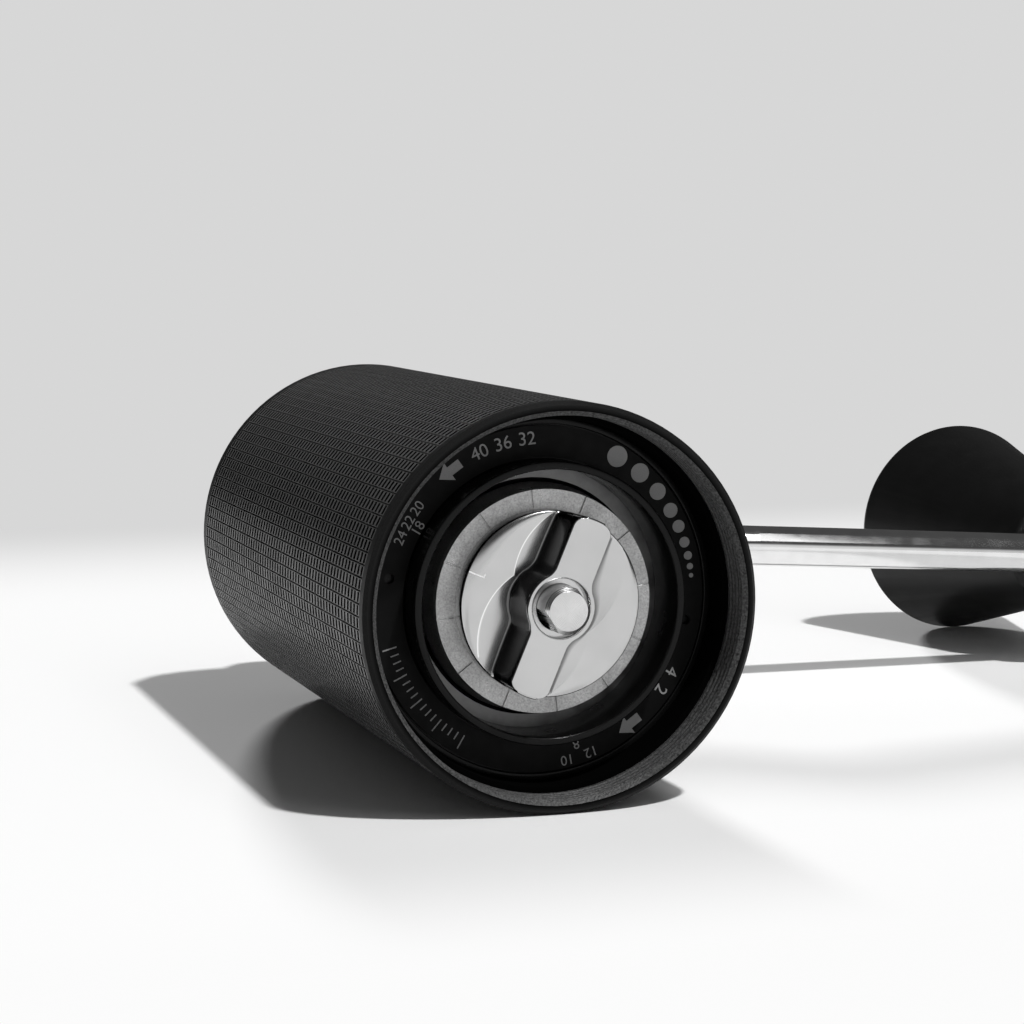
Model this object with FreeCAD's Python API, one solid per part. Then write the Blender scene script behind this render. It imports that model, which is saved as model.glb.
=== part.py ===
import FreeCAD, Part
import math
import os
from FreeCAD import Vector

# Hand crank coffee grinder, lying on its side on its body and the widest circle of its knob.
# Lengths in millimetres. The grinding axis is Y, the open lower end faces -Y with its rim at Y 0,
# the crank lies towards +X and +Z is up. The origin is on the axis in the plane of the rim.

# Body tube and its grip
BODY_R = 26.0
BODY_LENGTH = 94.0
BODY_EDGE = 0.5
SKIRT_WALL = 1.8
SKIRT_DEPTH = 5.0
RIM_LEAD = 0.6
THREAD_PITCH = 1.0
THREAD_DEPTH = 0.35
CARRIER_WALL = 2.6
HOPPER_WALL = 3.4
MOUTH_WALL = 2.6
MOUTH_DEPTH = 10.0
GROOVE_COUNT = 102
GROOVE_WIDTH = 0.25
GROOVE_DEPTH = 0.25
LOWER_BAND = 2.0
UPPER_BAND = 2.5

# Fits
PRESS_GAP = 0.01
SCREW_GAP = 0.03
RUNNING_GAP = 0.05
SEAT_GAP = 0.05
SEAL_GAP = 0.1
LID_GAP = 0.5

# Burr carrier and printed scale
SCALE_DEPTH = 9.4
SCALE_RING_T = 0.8
SCALE_BORDER = 0.8
SCALE_EDGE_GAP = 0.2
SEAT_WIDTH = 1.9
COLLAR_WALL = 1.0
COLLAR_RISE = 4.6
COLLAR_EDGE = 0.2
SPANNER_HOLE_R = 0.65
SPANNER_HOLE_DEPTH = 2.0
SPANNER_HOLE_ANGLE = 170.0
SEAT_STEP = 3.6
CARRIER_COVER = 2.0

# Burr set
CARRIER_SHELL = 4.36
OUTER_BURR_H = 12.0
BURR_MOUTH_WALL = 3.6
BURR_THROAT_WALL = 6.5
OUTER_FLUTES = 12
OUTER_FLUTE_R = 1.1
GRIND_GAP = 0.45
INNER_FACE_STEP = 0.55
INNER_RIM_H = 1.2
INNER_TOP_WALL = 1.6
INNER_FLUTES = 6
INNER_FLUTE_R = 2.2
TICK_FACE_DEPTH = 7.9
TICK_COUNT = 12
TICK_LENGTH = 2.3
TICK_WIDTH = 0.22
TICK_DEPTH = 0.2
TICK_ANGLE = 7.0
SET_SCREWS = 3
SET_SCREW_R = 1.25
SET_SCREW_BITE = 0.8
SET_SCREW_SINK = 0.3

# Spindle
SHAFT_R = 3.0
SHAFT_PROUD = 1.5
SHAFT_EDGE = 0.5
FLATS_ACROSS = 5.0
FLATS_ANGLE = 32.5
FLANGE_STEP = 1.2
FLANGE_T = 2.0
SHAFT_CLIP_STEP = 1.7
SHAFT_CLIP_T = 0.8
SHAFT_CLIP_BITE = 0.5
HEX_ACROSS = 5.0
HEX_START_GAP = 0.4
HEX_END_GAP = 0.4

# Bearings and the bridges that hold them
BEARING_R = 7.5
BEARING_W = 5.0
RACE_T = 1.4
BALL_R = 1.2
BALL_COUNT = 8
BRIDGE_RING_H = 4.0
BRIDGE_RING_T = 3.5
BRIDGE_HUB_T = 2.2
BRIDGE_SPOKES = 3
BRIDGE_SPOKE_W = 4.0
LOWER_LIP_T = 2.0
UPPER_LIP_T = 1.5
LIP_WIDTH = 1.2
SNAP_T = 1.0
SNAP_BITE = 0.6
SNAP_WIDTH = 2.4
SNAP_OPENING = 8.0

# Burr spring
SPRING_SHAFT_GAP = 0.8
SPRING_WIRE_R = 0.4
SPRING_TURNS = 4
SPRING_POCKET_GAP = 0.6
SPRING_POCKET_DEPTH = 7.5
SPRING_WASHER_STEP = 2.2
SPRING_WASHER_T = 0.8
BURR_HEAD_ROOM = 1.5

# Adjusting dial
DIAL_INSET = 2.5
DIAL_FLANGE_T = 2.65
DIAL_RISE = 4.0
DIAL_HUB_WALL = 0.73
DIAL_BAR_W = 5.4
DIAL_BAR_ANGLE = 67.0
DIAL_DRAFT = 20.0
DIAL_ROOT = 0.2
DIAL_BLEND = 2.6
DIAL_MOUTH_STEP = 0.77
DIAL_MOUTH_DEPTH = 1.0
SCOOP_R = 5.0
SCOOP_ANGLE = 59.0
SCOOP_OFFSET = 3.6
SCOOP_DIP = 1.3
INDEX_ANGLE = 157.0
INDEX_LENGTH = 2.4
CLICK_BALL_R = 1.0
CLICK_INSET = 3.3
CLICK_PROUD = 0.35
CLICK_SPRING_L = 2.6
CLICK_SPRING_WALL = 0.35

# Lid
LID_INSET = 1.4
LID_EDGE_H = 1.6
LID_SHOULDER = 1.0
LID_CROWN = 3.3
LID_PLATE = 0.6
LID_PLUG_H = 4.2
LID_PLUG_WALL = 2.9
LID_BOSS_WALL = 2.0
LID_BOSS_DROP = 3.0
SEAL_DEPTH = 1.0
SEAL_H = 1.8
SEAL_UP = 1.3
BUSH_WALL = 1.45
BUSH_FLANGE_STEP = 1.6
BUSH_FLANGE_T = 0.6

# Crank
HUB_JOURNAL_R = 5.5
HUB_TAIL = 1.1
HUB_HEAD_STEP = 3.5
HUB_HEAD_H = 10.4
HUB_EDGE = 1.0
HUB_CLIP_T = 0.8
HUB_CLIP_BITE = 0.8
HUB_CLIP_STEP = 1.4
HUB_CAP_INSET = 1.4
HUB_CAP_T = 1.2
SOCKET_ROOF = 0.8
ARM_R = 3.25
ARM_OVER_HEAD = 3.95
ARM_TAIL = 6.0
ARM_REACH = 121.2
ARM_BEND_START = 30.0
ARM_BEND_R = 14.0
ARM_BEND_ANGLE = 45.0
ARM_DROP = 20.0
EYE_WALL = 3.5
EYE_H = 9.0
ARM_SCREW_R = 2.0

# Knob
KNOB_R = 18.6
KNOB_BASE_R = 9.0
KNOB_BASE_EDGE = 0.8
KNOB_FLANK = 37.0
KNOB_SHOULDER = 4.6
KNOB_ROUND = 4.6
KNOB_CROWN = 0.8
KNOB_PIN_R = 3.0
PIN_STUD_R = 2.5
PIN_COLLAR_STEP = 1.5
PIN_COLLAR_T = 1.0
PIN_RIVET_STEP = 1.5
PIN_RIVET_T = 1.2
PIN_HEAD_STEP = 1.4
PIN_HEAD_T = 2.0
KNOB_BUSH_WALL = 1.45
KNOB_BUSH_L = 9.5
KNOB_WELL_DEPTH = 5.4
KNOB_WELL_STEP = 1.6
KNOB_CAP_T = 2.4

# Places that follow from the sizes above
skirt_r = BODY_R - SKIRT_WALL
carrier_bore_r = BODY_R - CARRIER_WALL
hopper_r = BODY_R - HOPPER_WALL
mouth_r = BODY_R - MOUTH_WALL
carrier_r = carrier_bore_r - SCREW_GAP
burr_seat_r = carrier_r - CARRIER_SHELL
outer_burr_r = burr_seat_r - PRESS_GAP
mouth_burr_r = outer_burr_r - BURR_MOUTH_WALL
throat_burr_r = outer_burr_r - BURR_THROAT_WALL
exit_r = mouth_burr_r - GRIND_GAP
inner_face_r = exit_r - INNER_FACE_STEP
dial_r = inner_face_r - DIAL_INSET
dial_mouth_r = SHAFT_R + DIAL_MOUTH_STEP
dial_hub_r = dial_mouth_r + DIAL_HUB_WALL
click_at = dial_r - CLICK_INSET
spring_r = SHAFT_R + SPRING_SHAFT_GAP + SPRING_WIRE_R
pocket_r = spring_r + SPRING_WIRE_R + SPRING_POCKET_GAP
inner_top_r = pocket_r + INNER_TOP_WALL
collar_bore_r = outer_burr_r - SEAT_WIDTH
collar_r = collar_bore_r + COLLAR_WALL
scale_border_r = carrier_r - SCALE_BORDER
spanner_hole_at = (collar_r + scale_border_r) / 2
collar_y = SCALE_DEPTH - COLLAR_RISE
scale_floor_y = SCALE_DEPTH + SCALE_RING_T
burr_seat_y = SCALE_DEPTH + SEAT_STEP
carrier_top_y = burr_seat_y + OUTER_BURR_H + CARRIER_COVER
hopper_y = carrier_top_y + BRIDGE_RING_H
lower_bearing_y = carrier_top_y + LOWER_LIP_T
lower_bearing_top_y = lower_bearing_y + BEARING_W
mouth_y = BODY_LENGTH - MOUTH_DEPTH
snap_y = mouth_y + BRIDGE_RING_H
upper_bearing_y = snap_y - BEARING_W
shaft_clip_y = upper_bearing_y + BEARING_W
hex_y = shaft_clip_y + SHAFT_CLIP_T + HEX_START_GAP
washer_y = lower_bearing_y - SPRING_WASHER_T
inner_top_y = carrier_top_y - BURR_HEAD_ROOM
pocket_y = inner_top_y - SPRING_POCKET_DEPTH
dial_back_y = TICK_FACE_DEPTH - SEAT_GAP
dial_flange_y = dial_back_y - DIAL_FLANGE_T
dial_top_y = dial_flange_y - DIAL_RISE
lid_y = BODY_LENGTH + SEAT_GAP
lid_r = BODY_R - LID_INSET
lid_plug_r = mouth_r - LID_GAP
lid_plug_y = lid_y - LID_PLUG_H
lid_top_y = lid_y + LID_CROWN
bush_r = HUB_JOURNAL_R + RUNNING_GAP + BUSH_WALL
bush_flange_r = bush_r + BUSH_FLANGE_STEP
hub_head_r = HUB_JOURNAL_R + HUB_HEAD_STEP
bush_y = lid_y - LID_BOSS_DROP
hub_y = bush_y - HUB_TAIL
hub_head_y = lid_top_y + BUSH_FLANGE_T + SEAT_GAP
hub_top_y = hub_head_y + HUB_HEAD_H
arm_root_y = hub_head_y + ARM_OVER_HEAD
socket_end_y = arm_root_y - ARM_R - SOCKET_ROOF
shaft_top_y = socket_end_y - HEX_END_GAP
arm_y = arm_root_y - ARM_DROP
eye_top_y = arm_y + EYE_H / 2
knob_y = eye_top_y + PIN_COLLAR_T + RUNNING_GAP
knob_widest_y = knob_y + KNOB_FLANK
knob_top_y = knob_widest_y + KNOB_SHOULDER
well_y = knob_top_y - KNOB_WELL_DEPTH
pin_head_y = well_y + RUNNING_GAP
knob_bush_r = KNOB_PIN_R + RUNNING_GAP + KNOB_BUSH_WALL
knob_top_r = KNOB_R - KNOB_ROUND
pin_head_r = KNOB_PIN_R + PIN_HEAD_STEP
knob_well_r = pin_head_r + KNOB_WELL_STEP
crank_angle = -math.degrees(math.asin((BODY_R - KNOB_R) / ARM_REACH))

AXIS = Vector(0, 1, 0)
CENTRE = Vector(0, 0, 0)


def rod(radius, start, end):
    """Round bar on the grinding axis."""
    return Part.makeCylinder(radius, end - start, Vector(0, start, 0), AXIS)


def tube(outer, inner, start, end):
    """Round tube on the grinding axis."""
    return rod(outer, start, end).cut(rod(inner, start, end))


def turned(outline):
    """Solid turned about the axis from corners given as (radius, Y)."""
    corners = [Vector(radius, y, 0) for radius, y in outline]
    face = Part.Face(Part.makePolygon(corners + corners[:1]))
    return face.revolve(CENTRE, AXIS, 360)


def spun(shape, degrees):
    """Copy of a shape turned about the axis, from +X towards +Z."""
    copy = shape.copy()
    copy.rotate(CENTRE, AXIS, -degrees)
    return copy


def around(shape, count, start=0.0):
    """Copies of a shape, evenly spaced about the axis."""
    return [spun(shape, start + step * 360.0 / count) for step in range(count)]


def block(x0, x1, y0, y1, z0, z1):
    """Square block between two corners."""
    return Part.makeBox(x1 - x0, y1 - y0, z1 - z0, Vector(x0, y0, z0))


def flats_bar(radius, across, start, end):
    """Round bar with two parallel flats."""
    slab = block(-across / 2, across / 2, start, end, -radius, radius)
    return spun(rod(radius, start, end).common(slab), FLATS_ANGLE)


def hex_bar(across, start, end):
    """Hexagonal bar on the axis."""
    reach = across / math.sqrt(3)
    turns = [math.radians(60 * step) for step in range(6)]
    corners = [Vector(reach * math.cos(turn), start, reach * math.sin(turn)) for turn in turns]
    face = Part.Face(Part.makePolygon(corners + corners[:1]))
    return face.extrude(Vector(0, end - start, 0))


def slanted_cutter(radius, low, high):
    """Round cutter between two points given as (radius, Y), run past both ends."""
    start = Vector(low[0], low[1], 0)
    along = Vector(high[0], high[1], 0) - start
    spare = along * 0.1
    return Part.makeCylinder(radius, along.Length * 1.2, start - spare, along)


def grooved_profile(radius):
    """Closed outline of the grip: arcs between narrow lengthwise grooves."""
    def at(distance, angle):
        return Vector(distance * math.cos(angle), LOWER_BAND, distance * math.sin(angle))
    pitch = 2 * math.pi / GROOVE_COUNT
    half = GROOVE_WIDTH / radius / 2
    floor_r = radius - GROOVE_DEPTH
    edges = []
    for step in range(GROOVE_COUNT):
        left = step * pitch + half
        right = (step + 1) * pitch - half
        following = (step + 1) * pitch + half
        land = Part.Arc(at(radius, left), at(radius, (left + right) / 2), at(radius, right))
        edges.append(land.toShape())
        edges.append(Part.makeLine(at(radius, right), at(floor_r, right)))
        edges.append(Part.makeLine(at(floor_r, right), at(floor_r, following)))
        edges.append(Part.makeLine(at(floor_r, following), at(radius, following)))
    return Part.Wire(edges)


def skirt_thread():
    """Corners of the skirt's thread rings, from the rim inwards, as (radius, Y)."""
    corners = []
    for ring in range(int((SKIRT_DEPTH - RIM_LEAD) / THREAD_PITCH)):
        root_y = RIM_LEAD + THREAD_PITCH * (ring + 0.5)
        half = THREAD_PITCH * 0.35
        corners += [(skirt_r, root_y - half), (skirt_r + THREAD_DEPTH, root_y), (skirt_r, root_y + half)]
    return corners


def body_tube():
    """Outer tube with its grip, threaded skirt, burr seat bore, hopper and mouth."""
    grip_end = BODY_LENGTH - UPPER_BAND
    grip = Part.Face(grooved_profile(BODY_R)).extrude(Vector(0, grip_end - LOWER_BAND, 0))
    edge_r = BODY_R - BODY_EDGE
    lower = turned([(0, 0), (edge_r, 0), (BODY_R, BODY_EDGE), (BODY_R, LOWER_BAND), (0, LOWER_BAND)])
    upper = turned([(0, grip_end), (BODY_R, grip_end), (BODY_R, BODY_LENGTH - BODY_EDGE),
                    (edge_r, BODY_LENGTH), (0, BODY_LENGTH)])
    snap_r = mouth_r + SNAP_BITE
    lead = [(0, 0), (skirt_r + RIM_LEAD, 0), (skirt_r, RIM_LEAD)]
    skirt = lead + skirt_thread() + [(skirt_r, SKIRT_DEPTH)]
    hopper = [(carrier_bore_r, SKIRT_DEPTH), (carrier_bore_r, hopper_y), (hopper_r, hopper_y),
              (hopper_r, mouth_y)]
    mouth = [(mouth_r, mouth_y), (mouth_r, snap_y), (snap_r, snap_y), (snap_r, snap_y + SNAP_T),
             (mouth_r, snap_y + SNAP_T), (mouth_r, BODY_LENGTH), (0, BODY_LENGTH)]
    bore = turned(skirt + hopper + mouth)
    return grip.fuse([lower, upper]).removeSplitter().cut(bore)


def spanner_holes(start, end):
    """Two small holes that take a pin spanner."""
    hole = Part.makeCylinder(SPANNER_HOLE_R, end - start, Vector(spanner_hole_at, start, 0), AXIS)
    return around(hole, 2, SPANNER_HOLE_ANGLE)


def set_screw_holes(radius, inner, outer):
    """Radial bars at the places of the burr's set screws."""
    middle_y = burr_seat_y + OUTER_BURR_H / 2
    bar = Part.makeCylinder(radius, outer - inner, Vector(inner, middle_y, 0), Vector(1, 0, 0))
    return around(bar, SET_SCREWS, 90.0)


def burr_carrier():
    """Ring screwed into the body, with the raised collar and the outer burr's seat."""
    ring = turned([(collar_bore_r, collar_y + COLLAR_EDGE), (collar_bore_r + COLLAR_EDGE, collar_y),
                   (collar_r - COLLAR_EDGE, collar_y), (collar_r, collar_y + COLLAR_EDGE),
                   (collar_r, scale_floor_y), (scale_border_r, scale_floor_y), (scale_border_r, SCALE_DEPTH),
                   (carrier_r, SCALE_DEPTH), (carrier_r, carrier_top_y), (burr_seat_r, carrier_top_y),
                   (burr_seat_r, burr_seat_y), (collar_bore_r, burr_seat_y)])
    pin_holes = spanner_holes(SCALE_DEPTH, SCALE_DEPTH + SPANNER_HOLE_DEPTH)
    screw_holes = set_screw_holes(SET_SCREW_R + PRESS_GAP, outer_burr_r - SET_SCREW_BITE, BODY_R)
    return ring.cut(pin_holes + screw_holes)


def scale_ring():
    """Thin printed ring that lies on the carrier round the collar."""
    outer = scale_border_r - SCALE_EDGE_GAP
    inner = collar_r + SCALE_EDGE_GAP
    ring = tube(outer, inner, SCALE_DEPTH, scale_floor_y)
    return ring.cut(spanner_holes(SCALE_DEPTH, scale_floor_y))


def outer_burr():
    """Fixed ring burr with flutes down its cone."""
    top_y = burr_seat_y + OUTER_BURR_H
    ring = turned([(mouth_burr_r, burr_seat_y), (outer_burr_r, burr_seat_y), (outer_burr_r, top_y),
                   (throat_burr_r, top_y)])
    flute_low = (mouth_burr_r - OUTER_FLUTE_R, burr_seat_y)
    flute = slanted_cutter(OUTER_FLUTE_R, flute_low, (throat_burr_r + OUTER_FLUTE_R / 2, top_y))
    dimples = set_screw_holes(SET_SCREW_R + PRESS_GAP, outer_burr_r - SET_SCREW_BITE, BODY_R)
    return ring.cut(around(flute, OUTER_FLUTES) + dimples)


def burr_set_screws():
    """Grub screws that hold the outer burr in its carrier."""
    inner = outer_burr_r - SET_SCREW_BITE
    return Part.makeCompound(set_screw_holes(SET_SCREW_R, inner, carrier_r - SET_SCREW_SINK))


def bridge(ring_y, bearing_y, lip_t):
    """Spoked ring with a hub that holds one bearing on a lip."""
    hub_r = BEARING_R + BRIDGE_HUB_T
    hub_start = bearing_y - lip_t
    hub_end = bearing_y + BEARING_W
    inner = carrier_r - BRIDGE_RING_T
    ring = tube(carrier_r, inner, ring_y, ring_y + BRIDGE_RING_H)
    half = BRIDGE_SPOKE_W / 2
    reach = (inner + carrier_r) / 2
    spoke = block(hub_r - BRIDGE_HUB_T / 2, reach, ring_y, ring_y + BRIDGE_RING_H, -half, half)
    hub = rod(hub_r, hub_start, hub_end)
    solid = ring.fuse([hub] + around(spoke, BRIDGE_SPOKES, 90.0)).removeSplitter()
    seat = rod(BEARING_R + PRESS_GAP, bearing_y, hub_end)
    return solid.cut([seat, rod(BEARING_R - LIP_WIDTH, hub_start, bearing_y)])


def upper_bridge():
    """Bridge in the body's mouth, cut to the mouth's own bore."""
    return bridge(mouth_y, upper_bearing_y, UPPER_LIP_T).common(rod(mouth_r - PRESS_GAP, 0, BODY_LENGTH))


def ball_track(bearing_y):
    """Ring-shaped track of a bearing's balls."""
    pitch_r = (BEARING_R + SHAFT_R) / 2
    return Part.makeTorus(pitch_r, BALL_R + RUNNING_GAP, Vector(0, bearing_y + BEARING_W / 2, 0), AXIS)


def outer_race(bearing_y):
    """Outer ring of a bearing."""
    return tube(BEARING_R, BEARING_R - RACE_T, bearing_y, bearing_y + BEARING_W).cut(ball_track(bearing_y))


def inner_race(bearing_y):
    """Inner ring of a bearing."""
    bore_r = SHAFT_R + PRESS_GAP
    return tube(SHAFT_R + RACE_T, bore_r, bearing_y, bearing_y + BEARING_W).cut(ball_track(bearing_y))


def bearing_balls(bearing_y):
    """Balls of a bearing, each a solid of its own."""
    pitch_r = (BEARING_R + SHAFT_R) / 2
    ball = Part.makeSphere(BALL_R, Vector(pitch_r, bearing_y + BEARING_W / 2, 0))
    return Part.makeCompound(around(ball, BALL_COUNT))


def snap_ring():
    """Spring ring that keeps the upper bridge in the body."""
    outer = mouth_r + SNAP_BITE - PRESS_GAP
    ring = tube(outer, outer - SNAP_WIDTH, snap_y, snap_y + SNAP_T)
    half = SNAP_OPENING / 2
    return ring.cut(block(-half, half, snap_y, snap_y + SNAP_T, 0, BODY_R))


def drive_shaft():
    """Spindle: flats and thread below, a flange on the lower bearing, a hexagon on top."""
    end_y = -SHAFT_PROUD
    flats_end = washer_y
    stub = flats_bar(SHAFT_R, FLATS_ACROSS, end_y, flats_end)
    nose = turned([(0, end_y), (SHAFT_R - SHAFT_EDGE, end_y), (SHAFT_R, end_y + SHAFT_EDGE),
                   (SHAFT_R, flats_end), (0, flats_end)])
    flange_r = SHAFT_R + FLANGE_STEP
    groove_r = SHAFT_R - SHAFT_CLIP_BITE
    clip_end = shaft_clip_y + SHAFT_CLIP_T
    flange_end = lower_bearing_top_y + FLANGE_T
    spindle = turned([(0, flats_end), (SHAFT_R, flats_end), (SHAFT_R, lower_bearing_top_y),
                      (flange_r, lower_bearing_top_y), (flange_r, flange_end), (SHAFT_R, flange_end),
                      (SHAFT_R, shaft_clip_y), (groove_r, shaft_clip_y), (groove_r, clip_end),
                      (SHAFT_R, clip_end), (SHAFT_R, hex_y), (0, hex_y)])
    head = spun(hex_bar(HEX_ACROSS, hex_y, shaft_top_y), crank_angle)
    return spindle.fuse([stub.common(nose), head]).removeSplitter()


def shaft_clip():
    """Clip above the upper bearing's inner ring."""
    outer = SHAFT_R + SHAFT_CLIP_STEP
    groove_r = SHAFT_R - SHAFT_CLIP_BITE
    end = shaft_clip_y + SHAFT_CLIP_T
    ring = tube(outer, groove_r + PRESS_GAP, shaft_clip_y, end)
    return ring.cut(block(-groove_r, groove_r, shaft_clip_y, end, 0, outer))


def spring_washer():
    """Washer between the burr spring and the lower bearing."""
    return tube(SHAFT_R + SPRING_WASHER_STEP, SHAFT_R + PRESS_GAP, washer_y, washer_y + SPRING_WASHER_T)


def arc_through(start, corner, end):
    """Arc that leaves and meets the two sides of a corner as a tangent."""
    middle = (start + end) * 0.5
    half_chord = start.distanceToPoint(end) / 2
    half_turn = math.acos(half_chord / start.distanceToPoint(corner))
    towards = (corner - middle).normalize()
    return Part.Arc(start, middle + towards * (half_chord * math.tan(half_turn / 2)), end).toShape()


def coil_wire(radius, start, end, turns):
    """Coil line of tangent arcs, two to each quarter turn."""
    quarters = turns * 4
    rise = (end - start) / quarters

    def point(step):
        angle = step * math.pi / 2
        return Vector(radius * math.cos(angle), start + rise * step, radius * math.sin(angle))

    def heading(step):
        angle = step * math.pi / 2
        sweep = radius * math.pi / 2
        return Vector(-sweep * math.sin(angle), rise, sweep * math.cos(angle)).normalize()

    edges = []
    for step in range(quarters):
        here, there = point(step), point(step + 1)
        out, into = heading(step), heading(step + 1)
        chord = there - here
        both = out + into
        square = 2 - 2 * out.dot(into)
        reach = (-chord.dot(both) + math.sqrt(chord.dot(both) ** 2 + square * chord.dot(chord))) / square
        first, second = here + out * reach, there - into * reach
        joint = (first + second) * 0.5
        edges += [arc_through(here, first, joint), arc_through(joint, second, there)]
    return Part.Wire(edges)


def burr_spring():
    """Open coil spring that presses the inner burr down on the dial."""
    start = pocket_y + SPRING_WIRE_R + SEAT_GAP
    end = washer_y - SPRING_WIRE_R - SEAT_GAP
    line = coil_wire(spring_r, start, end, SPRING_TURNS)
    points = line.discretize(Number=SPRING_TURNS * 48)
    apart = [a.distanceToPoint(b) for i, a in enumerate(points) for b in points[i + 24:]]
    print("burr spring: least gap to itself %.2f mm" % (min(apart) - 2 * SPRING_WIRE_R))
    heading = line.Edges[0].tangentAt(line.Edges[0].FirstParameter)
    section = Part.Wire(Part.makeCircle(SPRING_WIRE_R, line.Edges[0].Vertexes[0].Point, heading))
    return line.makePipeShell([section], True, False)


def click_track():
    """Ring-shaped track of the click ball in the burr's face."""
    ball_y = TICK_FACE_DEPTH + CLICK_PROUD - CLICK_BALL_R
    return Part.makeTorus(click_at, CLICK_BALL_R + RUNNING_GAP, Vector(0, ball_y, 0), AXIS)


def burr_ticks():
    """Engraved marks on the inner burr's face."""
    half = TICK_WIDTH / 2
    floor_y = TICK_FACE_DEPTH + TICK_DEPTH
    mark = block(inner_face_r - TICK_LENGTH, inner_face_r + half, TICK_FACE_DEPTH, floor_y, -half, half)
    return around(mark, TICK_COUNT, TICK_ANGLE)


def inner_burr():
    """Cone burr with its marked face below, flutes, the spring's pocket and the flatted bore."""
    slope = (mouth_burr_r - throat_burr_r) / OUTER_BURR_H
    exit_y = burr_seat_y - GRIND_GAP
    land_y = burr_seat_y + OUTER_BURR_H / 8
    land_r = exit_r - slope * (land_y - exit_y) - GRIND_GAP / 4
    rim_y = TICK_FACE_DEPTH + INNER_RIM_H
    cone = turned([(0, TICK_FACE_DEPTH), (inner_face_r, TICK_FACE_DEPTH), (inner_face_r, rim_y),
                   (exit_r, exit_y), (land_r, land_y), (inner_top_r, inner_top_y), (pocket_r, inner_top_y),
                   (pocket_r, pocket_y), (0, pocket_y)])
    flute = slanted_cutter(INNER_FLUTE_R, (land_r + INNER_FLUTE_R, land_y), (inner_top_r, inner_top_y))
    bore = flats_bar(SHAFT_R + RUNNING_GAP, FLATS_ACROSS + 2 * RUNNING_GAP, TICK_FACE_DEPTH, pocket_y)
    return cone.cut(around(flute, INNER_FLUTES) + burr_ticks() + [click_track(), bore])


def dial_outline(depth):
    """Closed outline of the finger bar below its top: a long bar through a round hub, blended into it."""
    grow = depth * math.tan(math.radians(DIAL_DRAFT))
    half = DIAL_BAR_W / 2 + grow
    hub_r = dial_hub_r + grow
    blend = DIAL_BLEND - grow
    reach = math.sqrt((hub_r + blend) ** 2 - (half + blend) ** 2)
    lean = math.atan2(half + blend, reach)
    tip = dial_r + DIAL_BLEND
    on_hub = (hub_r * math.cos(lean), hub_r * math.sin(lean))
    mid_turn = (lean - math.pi / 2) / 2
    on_blend = (reach + blend * math.sin(mid_turn), half + blend - blend * math.cos(mid_turn))

    def at(u, v):
        return Vector(u, dial_top_y + depth, v)
    edges = []
    for side in (1, -1):
        v = side * half
        hub_v, blend_v = side * on_hub[1], side * on_blend[1]
        edges.append(Part.makeLine(at(side * tip, -v), at(side * tip, v)))
        edges.append(Part.makeLine(at(side * tip, v), at(side * reach, v)))
        edges.append(Part.makeLine(at(-side * tip, v), at(-side * reach, v)))
        edges.append(Part.Arc(at(on_hub[0], hub_v), at(0, side * hub_r), at(-on_hub[0], hub_v)).toShape())
        edges.append(Part.Arc(at(reach, v), at(on_blend[0], blend_v), at(on_hub[0], hub_v)).toShape())
        edges.append(Part.Arc(at(-reach, v), at(-on_blend[0], blend_v), at(-on_hub[0], hub_v)).toShape())
    return Part.Wire(Part.__sortEdges__(edges))


def dial_bar():
    """Raised finger bar of the dial."""
    foot = DIAL_RISE + DIAL_ROOT + SCOOP_DIP
    bar = Part.makeLoft([dial_outline(0), dial_outline(foot)], True, True)
    return spun(bar.common(rod(dial_r, dial_top_y, dial_back_y)), DIAL_BAR_ANGLE)


def dial_scoops():
    """Two round troughs beside the finger bar."""
    centre_y = dial_flange_y + SCOOP_DIP - SCOOP_R
    start = Vector(-dial_r, centre_y, SCOOP_OFFSET)
    trough = Part.makeCylinder(SCOOP_R, 2 * dial_r, start, Vector(1, 0, 0))
    return around(trough, 2, SCOOP_ANGLE)


def click_seat(radius, start, end):
    """Bar at the click ball's place under the finger bar."""
    bar = Part.makeCylinder(radius, end - start, Vector(click_at, start, 0), AXIS)
    return spun(bar, DIAL_BAR_ANGLE)


def click_ball_y():
    """Height of the click ball's centre."""
    return TICK_FACE_DEPTH + CLICK_PROUD - CLICK_BALL_R


def adjusting_dial():
    """Dial screwed on the spindle: flange, finger bar between two troughs, bore and index line."""
    flange = rod(dial_r, dial_flange_y, dial_back_y).cut(dial_scoops())
    solid = flange.fuse(dial_bar()).removeSplitter()
    bore = rod(SHAFT_R + RUNNING_GAP, dial_top_y, dial_back_y)
    mouth = rod(dial_mouth_r, dial_top_y, dial_top_y + DIAL_MOUTH_DEPTH)
    pocket_start = click_ball_y() - CLICK_BALL_R - CLICK_SPRING_L
    pocket = click_seat(CLICK_BALL_R + RUNNING_GAP, pocket_start, dial_back_y)
    half = TICK_WIDTH / 2
    index = block(dial_r - INDEX_LENGTH, dial_r, dial_flange_y, dial_flange_y + TICK_DEPTH, -half, half)
    return solid.cut([bore, mouth, pocket, spun(index, INDEX_ANGLE)])


def click_ball():
    """Ball that clicks round the burr's face."""
    return spun(Part.makeSphere(CLICK_BALL_R, Vector(click_at, click_ball_y(), 0)), DIAL_BAR_ANGLE)


def click_spring():
    """Small spring behind the click ball, as a plain sleeve."""
    end = click_ball_y() - CLICK_BALL_R
    outer = click_seat(CLICK_BALL_R, end - CLICK_SPRING_L, end)
    return outer.cut(click_seat(CLICK_BALL_R - CLICK_SPRING_WALL, end - CLICK_SPRING_L, end))


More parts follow.
